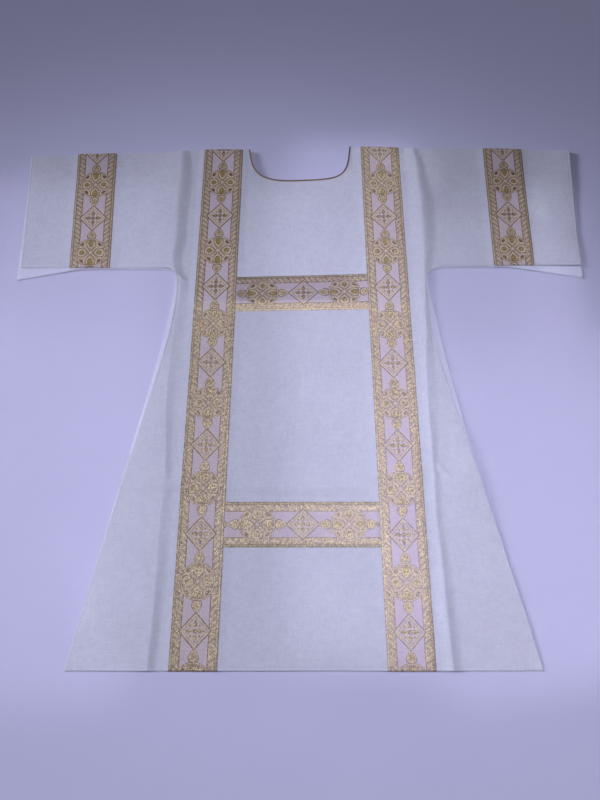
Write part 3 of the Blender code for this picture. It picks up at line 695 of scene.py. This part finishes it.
# Small creases of the front, from one end to the other: x, v, x, v, half width, height
smallCreases = [
    (-0.272, 0.776, -0.270, 0.802, 0.006, 0.0012), (-0.266, 0.816, -0.275, 0.838, 0.006, 0.0014),
    (-0.292, 0.316, -0.253, 0.358, 0.007, 0.0026), (0.267, 0.796, 0.280, 0.772, 0.008, 0.0016),
    (0.296, 0.8145, 0.345, 0.832, 0.012, 0.0010), (0.338, 0.070, 0.402, 0.114, 0.014, -0.0012),
    (0.556, 0.150, 0.590, 0.232, 0.022, 0.0016), (-0.420, 0.060, -0.330, 0.135, 0.020, 0.0009),
    (-0.560, 0.215, -0.500, 0.150, 0.024, 0.0010), (0.300, 0.560, 0.345, 0.640, 0.018, 0.0010),
    (-0.345, 0.900, -0.300, 0.985, 0.020, 0.0009), (0.330, 0.920, 0.390, 1.010, 0.022, 0.0011),
    (-0.085, 0.130, 0.070, 0.152, 0.024, 0.0007), (-0.060, 0.520, 0.080, 0.545, 0.030, 0.0008),
    (-0.090, 0.730, 0.060, 0.705, 0.030, 0.0007), (0.020, 1.000, 0.120, 1.030, 0.026, 0.0007),
]
# Slow waves of cloth that was folded once: across and down wavelengths, shift, height
slowWaves = [(0.31, 0.47, 0.4, 0.00034), (0.17, -0.23, 1.9, 0.00024), (0.092, 0.34, 3.1, 0.00016),
             (-0.26, 0.105, 5.0, 0.00018), (0.061, -0.083, 2.2, 0.00009)]


def along(at, stations, values):
    # a cubic through the stations, each slope taken from its neighbours
    slopes = np.gradient(values, stations)
    k = np.clip(np.searchsorted(stations, at) - 1, 0, len(stations) - 2)
    step = stations[k + 1] - stations[k]
    t = np.clip((at - stations[k]) / step, 0, 1)
    ends = (1 + 2 * t) * (1 - t) ** 2 * values[k] + t * t * (3 - 2 * t) * values[k + 1]
    return ends + step * t * (1 - t) * ((1 - t) * slopes[k] - t * slopes[k + 1])


def easeIn(share):
    # 0 to 1 with level ends: 3s^2 - 2s^3
    share = np.clip(share, 0, 1)
    return share * share * (3 - 2 * share)


def half(layer, side):
    # one half's outline: what both layers share with what is this layer's own
    return {**halves[side], **halves[side][layer]}


def clavusInner(v):
    # the clavus's inner edge: a straight line from its place at the shoulder to the one at the hem
    return garment["clavusTop"] + (garment["clavusHem"] - garment["clavusTop"]) * v / garment["length"]


def foldV(x):
    # the fold: straight lines between its stations
    return np.interp(x, *foldLine.T)


def sideX(cut, v):
    # the side: a straight line from underarm to hem, less a bow b*exp(1 - b) just below the arm
    start = cut["sleeveLow"] + cut["underarmRadius"]
    down = np.clip((v - start) / (garment["length"] - start), 0, 1)
    bow = np.maximum(v - start, 0) / cut["bowReach"]
    straight = cut["underarmX"] + (cut["hemHalf"] - cut["underarmX"]) * down
    return straight - cut["sideBow"] * bow * np.exp(1 - bow)


def sleeveEdgeV(cut, x):
    # the sleeve's low edge: level, and then a straight droop towards the cuff
    sinking = np.clip((np.abs(x) - cut["droopFrom"]) / (cut["cuffLow"] - cut["droopFrom"]), 0, 1)
    return cut["sleeveLow"] + cut["droop"] * sinking


def cuffX(cut, v):
    # the cuff: a straight line from the fold to the sleeve's low edge
    return cut["cuffTop"] + (cut["cuffLow"] - cut["cuffTop"]) * v / cut["sleeveLow"]


farAway = 9.0                                                  # metres: past any edge of the garment


def edgeDistance(layer, x, v):
    # how far a place is in from the nearest hemmed edge: hem, side, underarm arc, sleeve or cuff
    nearest = garment["length"] - v
    for side in ("left", "right"):
        cut = half(layer, side)
        out = x * cut["sign"]
        middleX = cut["underarmX"] + cut["underarmRadius"]
        middleV = cut["sleeveLow"] + cut["underarmRadius"]
        below = np.where(v > middleV, sideX(cut, v) - out, farAway)
        arc = np.hypot(out - middleX, v - middleV) - cut["underarmRadius"]
        arc = np.where((out < middleX) & (v <= middleV), arc, farAway)
        sleeve = np.where((out >= middleX) & (v <= middleV), sleeveEdgeV(cut, out) - v, farAway)
        cuff = np.where(out > 0.3, cuffX(cut, v) - out, farAway)
        nearest = np.minimum.reduce([nearest, below, arc, sleeve, cuff])
    return nearest


def lifted(x, v):
    # 1 where a strip passes under the back and over the front, easing to 0 beside it
    apart = np.abs(np.abs(x) - clavusInner(v) - garment["galloon"] / 2) - garment["galloon"] / 2
    for side in ("left", "right"):
        cut = half("front", side)
        bandTop, bandLow = sleeveBands[side]
        inner = bandTop + (bandLow - bandTop) * v / cut["sleeveLow"]
        band = np.abs(x * cut["sign"] - inner - garment["galloon"] / 2) - garment["galloon"] / 2
        apart = np.minimum(apart, np.where(v < lie["sleeveBandsEnd"], band, farAway))
    return 1 - easeIn(apart / lie["besideStrip"])


def ridge(distance, before, after, soft):
    # a crest of height 1: (1 - d/before)^1.6 on its near side, and after it that curve mixed with an S
    rounded = np.sqrt(distance**2 + crestRound**2)
    sharp = np.clip(1 - rounded / np.where(distance < 0, before, after), 0, 1) ** 1.6
    return np.where(distance < 0, sharp, sharp + soft * (1 - easeIn(distance / after) - sharp))


def hemProfile(distance):
    # a turned edge: a low bulge up to the topstitching, less a bell curve where the stitches sink in
    inset = garment["hemInset"]
    bulge = lie["hemBulge"] * (1 - easeIn(distance / inset - 0.1))
    return bulge - lie["stitchSink"] * np.exp(-(((distance - inset) / lie["stitchGroove"]) ** 2))


def bigCreases(x, v):
    # the highest of the soft fold, a bell curve down from the shoulder, and each crease's own ridge
    height = garment["softFold"] * np.exp(-((v / garment["softFoldReach"]) ** 2))
    for stations in pressCreases.values():
        crest, before, after, soft = (np.interp(v, stations[:, 0], stations[:, k]) for k in (2, 3, 4, 5))
        distance = x - along(v, stations[:, 0], stations[:, 1])
        height = np.maximum(height, crest * ridge(distance, before, after, soft))
    crest, before, after, soft = (np.interp(x, crossCrease[:, 0], crossCrease[:, k]) for k in (2, 3, 4, 5))
    distance = v - np.interp(x, crossCrease[:, 0], crossCrease[:, 1])
    return np.maximum(height, crest * ridge(distance, before, after, soft))


def relief(x, v):
    # height of the front over its flat level: large creases, bell-shaped swells, small creases as bell
    # curves across a line that fade at its ends, and slow sine waves, all added up
    height = bigCreases(x, v)
    for atX, atV, halfWidth, halfLength, swell in swells:
        height = height + swell * np.exp(-(((x - atX) / halfWidth) ** 2) - ((v - atV) / halfLength) ** 2)
    for x0, v0, x1, v1, halfWidth, crest in smallCreases:
        run = np.array([x1 - x0, v1 - v0])
        length = np.hypot(*run)
        share = ((x - x0) * run[0] + (v - v0) * run[1]) / length**2
        apart = ((x - x0) * run[1] - (v - v0) * run[0]) / length
        fade = np.exp(-((2.2 * (share - 0.5)) ** 4))
        height = height + crest * fade * np.exp(-((apart / halfWidth) ** 2) * 2.5)
    for waveX, waveV, shift, crest in slowWaves:
        height = height + crest * np.sin(2 * np.pi * (x / waveX + v / waveV) + shift)
    return np.maximum(height, lie["reliefLowest"])


def frontLevel(x, v):
    # over the back with room for the lining between them, less that room where the front has settled,
    # and then its own relief and hem
    start, end = garment["settle"]
    base = backMid + trimStep * lifted(x, v) + panelSpacing - trimStep * easeIn((v - start) / (end - start))
    raised = relief(x, v) + hemProfile(edgeDistance("front", x, v))
    return base + np.maximum(raised, lie["frontLowest"])


def backLevel(x, v):
    # the back lies on the floor, over the strips round the fold, with a share of the large creases
    creases = lie["backShare"] * bigCreases(x, v) * easeIn(v / lie["backShareFrom"])
    return backMid + trimStep * lifted(x, v) + creases


count = {
    "neck": 24, "inner": 6, "band": 16, "knee": 8, "side": 28, "corner": 10, "arm": 22, "cuff": 22,
    "round": 5,
    "front": {"sleeve": 58, "skirt": (16, 74, 16, 44)},
    "back": {"sleeve": 30, "skirt": (8, 38, 8, 26)},
}
hemSteps = np.array([0.0078, 0.0060, 0.0046, 0.0032, 0.0015, 0.0])    # grid lines beside a hem
# The knee, a column on the press crease, stays between these shares of the way from clavus to side,
# and the columns past it crowd towards it by this power
kneeRange, sideCrowd = (0.15, 0.75), 1.4
clavusStart = count["neck"] + count["inner"]
bodyColumns = clavusStart + count["band"] + count["knee"] + count["side"]
armBandStart = bodyColumns + count["corner"] + count["arm"]


def shares(steps, length=None, crowd=1):
    # the places after 0, up to 1: even, or crowded to hemSteps from the end of a stretch of that length,
    # and to its start by the power crowd
    if length is None:
        return np.arange(1, steps + 1) / steps
    main = (np.arange(1, steps - hemSteps.size + 1) / (steps - hemSteps.size)) ** crowd
    scale = np.minimum(1, length / 0.04) / length
    return np.concatenate([main * (1 - 1.3 * hemSteps[0] * scale), 1 - hemSteps * scale], axis=-1)


def stretch(start, end, steps):
    # even places after the start, up to the end
    return start + (end - start) * shares(steps)


def neckPoints(cut):
    # a superellipse from the middle of the neck's low edge, opening out a little towards the fold
    turn = np.pi / 2 * (1 - (1 - np.arange(count["neck"] + 1) / count["neck"]) ** 1.6)
    power = 2 / cut["neckRoundness"]
    down = np.cos(turn).clip(0) ** power
    down[-1] = 0
    flare = garment["neckFlare"]
    across = (cut["neck"] - flare) * np.sin(turn) ** power + flare * (1 - down) ** 2
    return across, garment["neckDepth"] * down


def bodyX(cut, v):
    # column places across half the body, each at its own v: centre, clavus, crease, side
    inner = clavusInner(v)
    outer = inner + garment["galloon"]
    edge = sideX(cut, v)
    stations = pressCreases["left" if cut["sign"] < 0 else "right"]
    knee = np.abs(along(v, stations[:, 0], stations[:, 1]))
    knee = np.clip(knee, *(outer + share * (edge - outer) for share in kneeRange))
    columns, first = [0 * v[:, :1]], 1
    for start, end, steps in (
        (0 * v, inner, clavusStart), (inner, outer, count["band"]), (outer, knee, count["knee"]),
        (knee, edge, count["side"]),
    ):
        part = slice(first, first + steps)
        room = (end - start)[:, -1:] if end is edge else None
        columns.append(start[:, part] + (end - start)[:, part] * shares(steps, room, crowd=sideCrowd))
        first += steps
    return np.concatenate(columns, axis=1)


def halfTop(layer, side):
    # the ends of each column of half an upper grid: xTop, vTop, xLow, vLow
    cut = half(layer, side)
    sign, underarmX, radius = cut["sign"], cut["underarmX"], cut["underarmRadius"]
    bandTop, bandLow = sleeveBands[side]
    underarmV = cut["sleeveLow"] + radius
    neckX, neckV = neckPoints(cut)
    outerTop = garment["clavusTop"] + garment["galloon"]
    bodyTop = np.concatenate([
        neckX,
        stretch(neckX[-1], garment["clavusTop"], count["inner"]),
        stretch(garment["clavusTop"], outerTop, count["band"]),
        stretch(outerTop, underarmX - 0.004, count["knee"] + count["side"]),
    ])
    bodyLow = bodyX(cut, np.full((1, bodyColumns + 1), garment["upperBand"][0]))[0]
    pastBand = easeIn((bodyLow - outerTop) / (underarmX - outerTop))
    bandV = garment["upperBand"][0] + garment["upperSlopes"][0] * sign * bodyLow
    bodyV = bandV + (underarmV - bandV) * pastBand

    turn = np.pi / 2 * shares(count["corner"])
    cornerLow = underarmX + radius * (1 - np.cos(turn))
    cornerV = underarmV - radius * np.sin(turn)
    tops, lows = [bodyTop, stretch(bodyTop[-1], cornerLow[-1], count["corner"])], [bodyLow, cornerLow]
    for topEnd, lowEnd, steps, hem in (
        (bandTop, bandLow, count["arm"], None),
        (bandTop + garment["galloon"], bandLow + garment["galloon"], count["band"], None),
        (cut["cuffTop"], cut["cuffLow"], count["cuff"], 0.1),
    ):
        tops.append(tops[-1][-1] + (topEnd - tops[-1][-1]) * shares(steps, hem))
        lows.append(lows[-1][-1] + (lowEnd - lows[-1][-1]) * shares(steps, hem))
    xTop, xLow = sign * np.concatenate(tops), sign * np.concatenate(lows)
    vTop = foldV(xTop)
    vTop[: count["neck"] + 1] += neckV
    vLow = np.concatenate([bodyV, cornerV, sleeveEdgeV(cut, np.concatenate(lows[2:]))])
    return xTop, vTop, xLow, vLow


def placed(x, v, z):
    # garment sizes to world places: x less the centre's, and the centre's v less v
    return np.stack([x - garment["centreX"], garment["centreV"] - v, z], axis=-1)


def panel(layer):
    # Two grids of points from fold to underarm and on to the hem. The upper one starts at the fold,
    # where the edge stands upright at the seam and turns a quarter circle onto the flat.
    pairs = zip(halfTop(layer, "left"), halfTop(layer, "right"))
    xTop, vTop, xLow, vLow = (np.concatenate([left[:0:-1], right]) for left, right in pairs)
    centre = xTop.size // 2
    column = np.abs(np.arange(xTop.size) - centre)
    rolled = easeIn((column - count["neck"]) / count["inner"])
    facing = 1 if layer == "front" else -1
    level = frontLevel if layer == "front" else backLevel

    backZ, frontZ = backLevel(xTop, vTop), frontLevel(xTop, vTop)
    seamZ = (frontZ + backZ) / 2 + facing * garment["gap"] / 2
    ownZ = frontZ if layer == "front" else backZ
    upright = trimStep / 4
    radius = np.abs(ownZ - seamZ) - upright
    turn = np.pi / 2 * np.append(0, np.arange(count["round"] + 1) / count["round"])[:, None]
    raised = np.append(0, np.ones(count["round"] + 1))[:, None]
    roundZ = seamZ + facing * (upright * raised + radius * np.sin(turn))
    flatV = trimStep / 3 * np.arange(count["round"] + 2)[:, None]
    rollV = vTop + flatV + (radius * (1 - np.cos(turn)) - flatV) * rolled
    rollX = xTop + 0 * rollV
    rollZ = level(rollX, rollV)
    rollZ = rollZ + (roundZ - rollZ) * rolled

    share = shares(count[layer]["sleeve"], (vLow - rollV[-1])[:, None]).T
    armX = xTop + (xLow - xTop) * share
    armV = rollV[-1] + (vLow - rollV[-1]) * share
    upper = np.concatenate([placed(rollX, rollV, rollZ), placed(armX, armV, level(armX, armV))])

    body = slice(centre - bodyColumns, centre + bodyColumns + 1)
    rowV = [vLow[body]]
    bandEnd = garment["upperBand"][1] + garment["upperSlopes"][1] * np.clip(xLow[body], -0.2, 0.2)
    keys = (bandEnd, garment["lowerBand"][0], garment["lowerBand"][1], garment["length"])
    for key, steps in zip(keys, count[layer]["skirt"]):
        room = (key - rowV[-1])[:, None] if key is keys[-1] else None
        share = np.broadcast_to(shares(steps, room), (rowV[-1].size, steps)).T
        rowV.extend(rowV[-1] + (key - rowV[-1]) * share)
    skirtV = np.stack(rowV)
    middle = bodyColumns
    skirtX = np.concatenate([
        -bodyX(half(layer, "left"), skirtV[:, middle::-1])[:, :0:-1],
        bodyX(half(layer, "right"), skirtV[:, middle:]),
    ], axis=1)
    joined = 1 - easeIn(np.arange(len(skirtV)) / count[layer]["skirt"][0])[:, None]
    skirtX += (xLow[body] - skirtX[0]) * joined
    lower = placed(skirtX, skirtV, level(skirtX, skirtV))

    columns = xTop.size
    upperIndex = np.arange(len(upper) * columns).reshape(-1, columns)
    lowerIndex = upperIndex.size + np.arange((len(lower) - 1) * lower.shape[1]).reshape(-1, lower.shape[1])
    edge = np.concatenate([
        upperIndex[-1, :body.start + 1], upperIndex[-1, body.stop - 1:],
        upperIndex[:, 0], upperIndex[:, -1], lowerIndex[:, 0], lowerIndex[:, -1], lowerIndex[-1],
    ])
    points = np.concatenate([upper.reshape(-1, 3), lower[1:].reshape(-1, 3)])
    points[np.unique(edge), 2] -= garment["edgeDrop"][layer]
    return {
        "points": points,
        "upper": upperIndex,
        "lower": np.concatenate([upperIndex[-1:, body], lowerIndex]),
        "centre": centre,
        "edge": edge,
    }


def gridFaces(index):
    # the four corners of each cell of an index grid; rows run down the cloth, so they face up
    corners = [index[:-1, :-1], index[1:, :-1], index[1:, 1:], index[:-1, 1:]]
    return np.stack(corners, axis=-1).reshape(-1, 4)


def newPiece(name, points, faces, finish):
    # a smooth mesh on the garment's one body
    mesh = bpy.data.meshes.new(name)
    mesh.from_pydata(points, [], faces)
    mesh.materials.append(finish)
    mesh.shade_smooth()
    piece = bpy.data.objects.new(name, mesh)
    bpy.context.collection.objects.link(piece)
    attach(piece, "root")
    return piece


def setUv(piece, name, corners):
    layer = piece.data.uv_layers.new(name=name)
    layer.data.foreach_set("uv", corners.astype(np.float32).ravel())


def sheetPiece(name, points, faces, finish, uv=None):
    # only the points that the faces use; uv has a row for each point
    used, corners = np.unique(faces, return_inverse=True)
    piece = newPiece(name, points[used], corners.reshape(faces.shape).tolist(), finish)
    if uv is not None:
        setUv(piece, "ribbon", uv[used][corners.ravel()])
    return piece


def addWall(piece, wall, lift, weights):
    # Solidify gives the wall, lift moves its middle out, and each point gets its own share of both
    solid = piece.modifiers.new("wall", "SOLIDIFY")
    solid.thickness = wall
    solid.offset = 2 * lift / wall
    solid.use_even_offset = True
    piece.modifiers.new("crisp rims", "WEIGHTED_NORMAL").weight = 100
    group = piece.vertex_groups.new(name="full")
    for weight in np.unique(weights):
        group.add(np.flatnonzero(weights == weight).tolist(), float(weight), "REPLACE")
    solid.vertex_group = "full"


front, back = panel("front"), panel("back")
finishes = {
    "ivory_cloth": ivoryMaterial(), "white_lining": satinMaterial(), "gold_galloon": galloonMaterial(),
    "gold_piping": cordMaterial(),
}
thread = threadMaterial()

# Front and back: each a cloth sheet with a wall, thinner at its hemmed edges
for name, grid in (("front", front), ("back", back)):
    faces = np.concatenate([gridFaces(grid["upper"]), gridFaces(grid["lower"])])
    piece = sheetPiece(f"{name}_cloth", grid["points"], faces, finishes["ivory_cloth"])
    onEdge = np.isin(np.unique(faces), grid["edge"])
    addWall(piece, garment["clothWall"], 0, np.where(onEdge, garment["edgeWall"], 1))
    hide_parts(name)
print("panels: front and back")

# Half a repeat, roundel to lozenge, and the shares of wall and lift at a side and at a cut end
ribbon = {"pitch": 0.0901, "selvedge": 0.62, "cutEnd": 0.30}
stripRows = {
    # name: firstRoundel is the way from the fold to the first roundel's middle
    "clavus_left": {"side": -1, "start": clavusStart, "firstRoundel": 0.092, "skirt": True},
    "clavus_right": {"side": 1, "start": clavusStart, "firstRoundel": 0.1013, "skirt": True},
    "sleeve_band_left": {"side": -1, "start": armBandStart, "firstRoundel": 0.0870, "skirt": False},
    "sleeve_band_right": {"side": 1, "start": armBandStart, "firstRoundel": 0.0906, "skirt": False},
}
both = np.concatenate([back["points"], front["points"]])
frontFirst = len(back["points"])


def stripIndex(row):
    # up the back, over the fold and down the front, as one index grid; the last value is the fold's row
    first, last = sorted((row["side"] * row["start"], row["side"] * (row["start"] + count["band"])))
    columns = slice(front["centre"] + first, front["centre"] + last + 1)
    rows = [back["upper"][::-1, columns], front["upper"][:, columns] + frontFirst]
    if row["skirt"]:
        shift = front["centre"] - bodyColumns
        lower = slice(columns.start - shift, columns.stop - shift)
        rows = [back["lower"][:0:-1, lower], *rows, front["lower"][1:, lower] + frontFirst]
    foldRow = len(back["upper"]) + (len(back["lower"]) - 1 if row["skirt"] else 0)
    return np.concatenate(rows), foldRow


def ribbonPiece(name, points, index, across, way):
    # across runs from -0.5 to 0.5 over the width, way is the length along in half repeats
    uv = np.zeros((len(points), 2))
    uv[index] = np.stack(np.broadcast_arrays(across, way), axis=-1)
    piece = sheetPiece(name, points, gridFaces(index), finishes["gold_galloon"], uv)
    weights = np.ones(len(points))
    weights[index[:, [0, -1]]] = ribbon["selvedge"]
    weights[index[[0, -1]]] = ribbon["cutEnd"]
    addWall(piece, garment["trimWall"], trimLift, weights[np.unique(index)])
    return piece


for name, row in stripRows.items():
    index, foldRow = stripIndex(row)
    middle = both[index[:, count["band"] // 2]]
    run = np.append(0, np.cumsum(np.linalg.norm(np.diff(middle, axis=0), axis=1)))
    run -= (run[foldRow] + run[foldRow - 1]) / 2
    across = np.linspace(-0.5, 0.5, count["band"] + 1)[None, :]
    way = (run - row["firstRoundel"])[:, None] / ribbon["pitch"]
    piece = ribbonPiece(f"{name}_galloon", both, index, across, way)
    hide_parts(name)

# Across the front between the clavi: rows of the front's lower grid, and the lozenge's place
crossBands = {
    "cross_band_upper": {"rows": (0, 16), "lozenge": 0.0032, "flat": (0.290, 0.0855)},
    "cross_band_lower": {"rows": (90, 106), "lozenge": 0.0016, "flat": (0.306, 0.0890)},
}
for name, band in crossBands.items():
    first, last = band["rows"]
    index = front["lower"][first:last + 1, bodyColumns - clavusStart:bodyColumns + clavusStart + 1]
    points = front["points"].copy()
    points[index[:, 0], 0] += garment["gap"]
    points[index[:, -1], 0] -= garment["gap"]
    across = np.linspace(-0.5, 0.5, last - first + 1)[:, None]
    way = 1 + (points[index][..., 0] + garment["centreX"] - band["lozenge"]) / ribbon["pitch"]
    piece = ribbonPiece(f"{name}_galloon", points, index, across, way)
    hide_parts(name)
print("galloon: clavi, sleeve bands and cross bands")

# Lining strips: how far down the side each shows, and its flat strip's greatest width, length and area
linings = {
    "lining_left": {"side": -1, "low": 0.737, "flat": (0.062, 0.80), "area": 0.035},
    "lining_right": {"side": 1, "low": 0.8415, "flat": (0.062, 0.90), "area": 0.041},
}
liningColumns = 12                                             # of the side's columns, in from the edge
for name, row in linings.items():
    depth = garment["centreV"] - back["points"][back["lower"][:, 0 if row["side"] < 0 else -1], 1]
    lastRow = int(np.searchsorted(depth, row["low"]))
    sleeveRows = slice(len(back["upper"]) - 12, None)
    if row["side"] < 0:
        sleeve = back["upper"][sleeveRows, : back["centre"] - bodyColumns + liningColumns + 1]
        flank = back["lower"][: lastRow + 1, : liningColumns + 1]
    else:
        sleeve = back["upper"][sleeveRows, back["centre"] + bodyColumns - liningColumns :]
        flank = back["lower"][: lastRow + 1, -liningColumns - 1 :]
    faces = np.concatenate([gridFaces(sleeve), gridFaces(flank)])
    piece = sheetPiece(f"{name}_satin", back["points"], faces, finishes["white_lining"])
    onEdge = np.isin(np.unique(faces), back["edge"])
    addWall(piece, garment["trimWall"], trimLift, np.where(onEdge, garment["edgeWall"], 1))
    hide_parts(name)
print("lining: left and right")


def crossFrame(heading):
    # the unit heading, and the two directions square to it: level to the side, and up
    heading = heading / np.linalg.norm(heading, axis=1)[:, None]
    side = np.cross(heading, (0, 0, 1.0))
    side /= np.linalg.norm(side, axis=1)[:, None]
    return heading, side, np.cross(side, heading)


def addTube(name, path, radius, sides, finish):
    # a round section carried along the path, upright at each point, with closed ends
    side, up = crossFrame(np.gradient(path, axis=0))[1:]
    turn = 2 * np.pi * np.arange(sides + 1) / sides
    ring = side[:, None] * np.cos(turn)[None, :, None] + up[:, None] * np.sin(turn)[None, :, None]
    points = path[:, None] + radius * ring
    rows = len(path)
    index = np.arange(rows * (sides + 1)).reshape(rows, sides + 1)
    closed = index.copy()
    closed[:, -1] = closed[:, 0]
    quads = gridFaces(closed)
    run = np.append(0, np.cumsum(np.linalg.norm(np.diff(path, axis=0), axis=1)))
    corners = gridFaces(index).ravel()
    uv = np.stack([(corners % (sides + 1)) / sides, run[corners // (sides + 1)]], axis=-1)
    used, inverse = np.unique(quads, return_inverse=True)
    faces = inverse.reshape(-1, 4).tolist()
    faces += [list(range(sides)), list(range(len(used) - sides, len(used)))[::-1]]
    piece = newPiece(name, points.reshape(-1, 3)[used], faces, finish)
    setUv(piece, "cord", np.concatenate([uv, np.zeros((2 * sides, 2))]))
    return piece


for layer, grid in (("front", front), ("back", back)):
    # just inside the neck's edge, with its low side level with the cloth's
    around = slice(grid["centre"] - count["neck"], grid["centre"] + count["neck"] + 1)
    path = grid["points"][grid["upper"][0, around]]
    path[:, 2] += cord["radius"] - garment["clothWall"] / 2
    run = np.gradient(path, axis=0)[:, :2]
    run /= np.linalg.norm(run, axis=1)[:, None]
    path[:, :2] += np.stack([-run[:, 1], run[:, 0]], axis=1) * cord["radius"]
    piece = addTube(
        f"neck_piping_{layer}_cord", path, cord["radius"], cord["sides"], finishes["gold_piping"]
    )
    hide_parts(f"neck_piping_{layer}")
print("piping: neck front and back")

# Topstitching, in metres: one stitch every pitch, which stands proud of the cloth a little. Its line
# has this many places along hem, side, underarm, sleeve and cuff, and stops short of the fold.
stitch = {
    "pitch": 0.0043, "length": 0.0030, "radius": 0.00032, "sides": 6, "proud": 0.0001,
    "places": (90, 160, 20, 80, 70), "foldRoom": 0.016,
}


def edgePath(side, inset):
    # from the middle of the hem out to the side, up it, round the underarm and out along sleeve and cuff
    cut = half("front", side)
    radius = cut["underarmRadius"]
    middleX, middleV = cut["underarmX"] + radius, cut["sleeveLow"] + radius
    hemV, sleeveV = garment["length"] - inset, cut["sleeveLow"] - inset
    onHem, onSide, onUnderarm, onSleeve, onCuff = stitch["places"]
    sideV = np.linspace(hemV, middleV, onSide)
    turn = np.linspace(0, np.pi / 2, onUnderarm)
    cuffV = np.linspace(sleeveV, stitch["foldRoom"], onCuff)
    x = np.concatenate([
        np.linspace(0, sideX(cut, hemV) - inset, onHem), sideX(cut, sideV) - inset,
        middleX - (radius + inset) * np.cos(turn),
        np.linspace(middleX, cuffX(cut, cut["sleeveLow"]) - inset, onSleeve), cuffX(cut, cuffV) - inset,
    ])
    v = np.concatenate([
        np.full(onHem, hemV), sideV, middleV - (radius + inset) * np.sin(turn),
        np.full(onSleeve, sleeveV), cuffV,
    ])
    return cut["sign"] * x, v


def addStitches(name, paths, finish):
    # one spindle a stitch: a ring of points round the thread at five places along it
    places = np.concatenate([path[:-1] for path in paths])
    heading, side, up = crossFrame(np.concatenate([np.diff(path, axis=0) for path in paths]))
    slide = stitch["length"] * np.array([-0.5, -0.42, 0, 0.42, 0.5])
    girth = stitch["radius"] * np.array([0.35, 0.85, 1, 0.85, 0.35])
    sink = stitch["radius"] * np.array([-1.5, -0.7, 0, -0.7, -1.5])
    turn = 2 * np.pi * np.arange(stitch["sides"]) / stitch["sides"]
    ring = side[:, None] * np.cos(turn)[:, None] + up[:, None] * np.sin(turn)[:, None]
    spine = places[:, None] + heading[:, None] * slide[:, None] + up[:, None] * sink[:, None]
    points = spine[:, :, None] + ring[:, None] * girth[None, :, None, None]
    number, rings, sides = points.shape[:3]
    index = np.arange(number * rings * sides).reshape(number, rings, sides)
    turned = np.concatenate([index, index[..., :1]], axis=2)
    quads = np.stack([
        turned[:, :-1, :-1], turned[:, 1:, :-1], turned[:, 1:, 1:], turned[:, :-1, 1:],
    ], axis=-1).reshape(-1, 4)
    caps = [*index[:, 0].tolist(), *index[:, -1, ::-1].tolist()]
    return newPiece(name, points.reshape(-1, 3), quads.tolist() + caps, finish)


def evenly(x, v, pitch):
    # places a pitch apart along a line
    run = np.append(0, np.cumsum(np.hypot(np.diff(x), np.diff(v))))
    at = np.arange(0, run[-1], pitch)
    return np.interp(at, run, x), np.interp(at, run, v)


stitchPaths = []
for side in ("left", "right"):
    x, v = evenly(*edgePath(side, garment["hemInset"]), stitch["pitch"])
    free = lifted(x, v) < 0.5
    z = frontLevel(x, v) + garment["clothWall"] / 2 + stitch["proud"]
    path = placed(x, v, z)
    breaks = np.flatnonzero(np.diff(free.astype(int)))
    for part in np.split(np.arange(x.size), breaks + 1):
        if free[part[0]] and part.size > 2:
            stitchPaths.append(path[part])
topstitching = addStitches("topstitching_front", stitchPaths, thread)
print("topstitching")
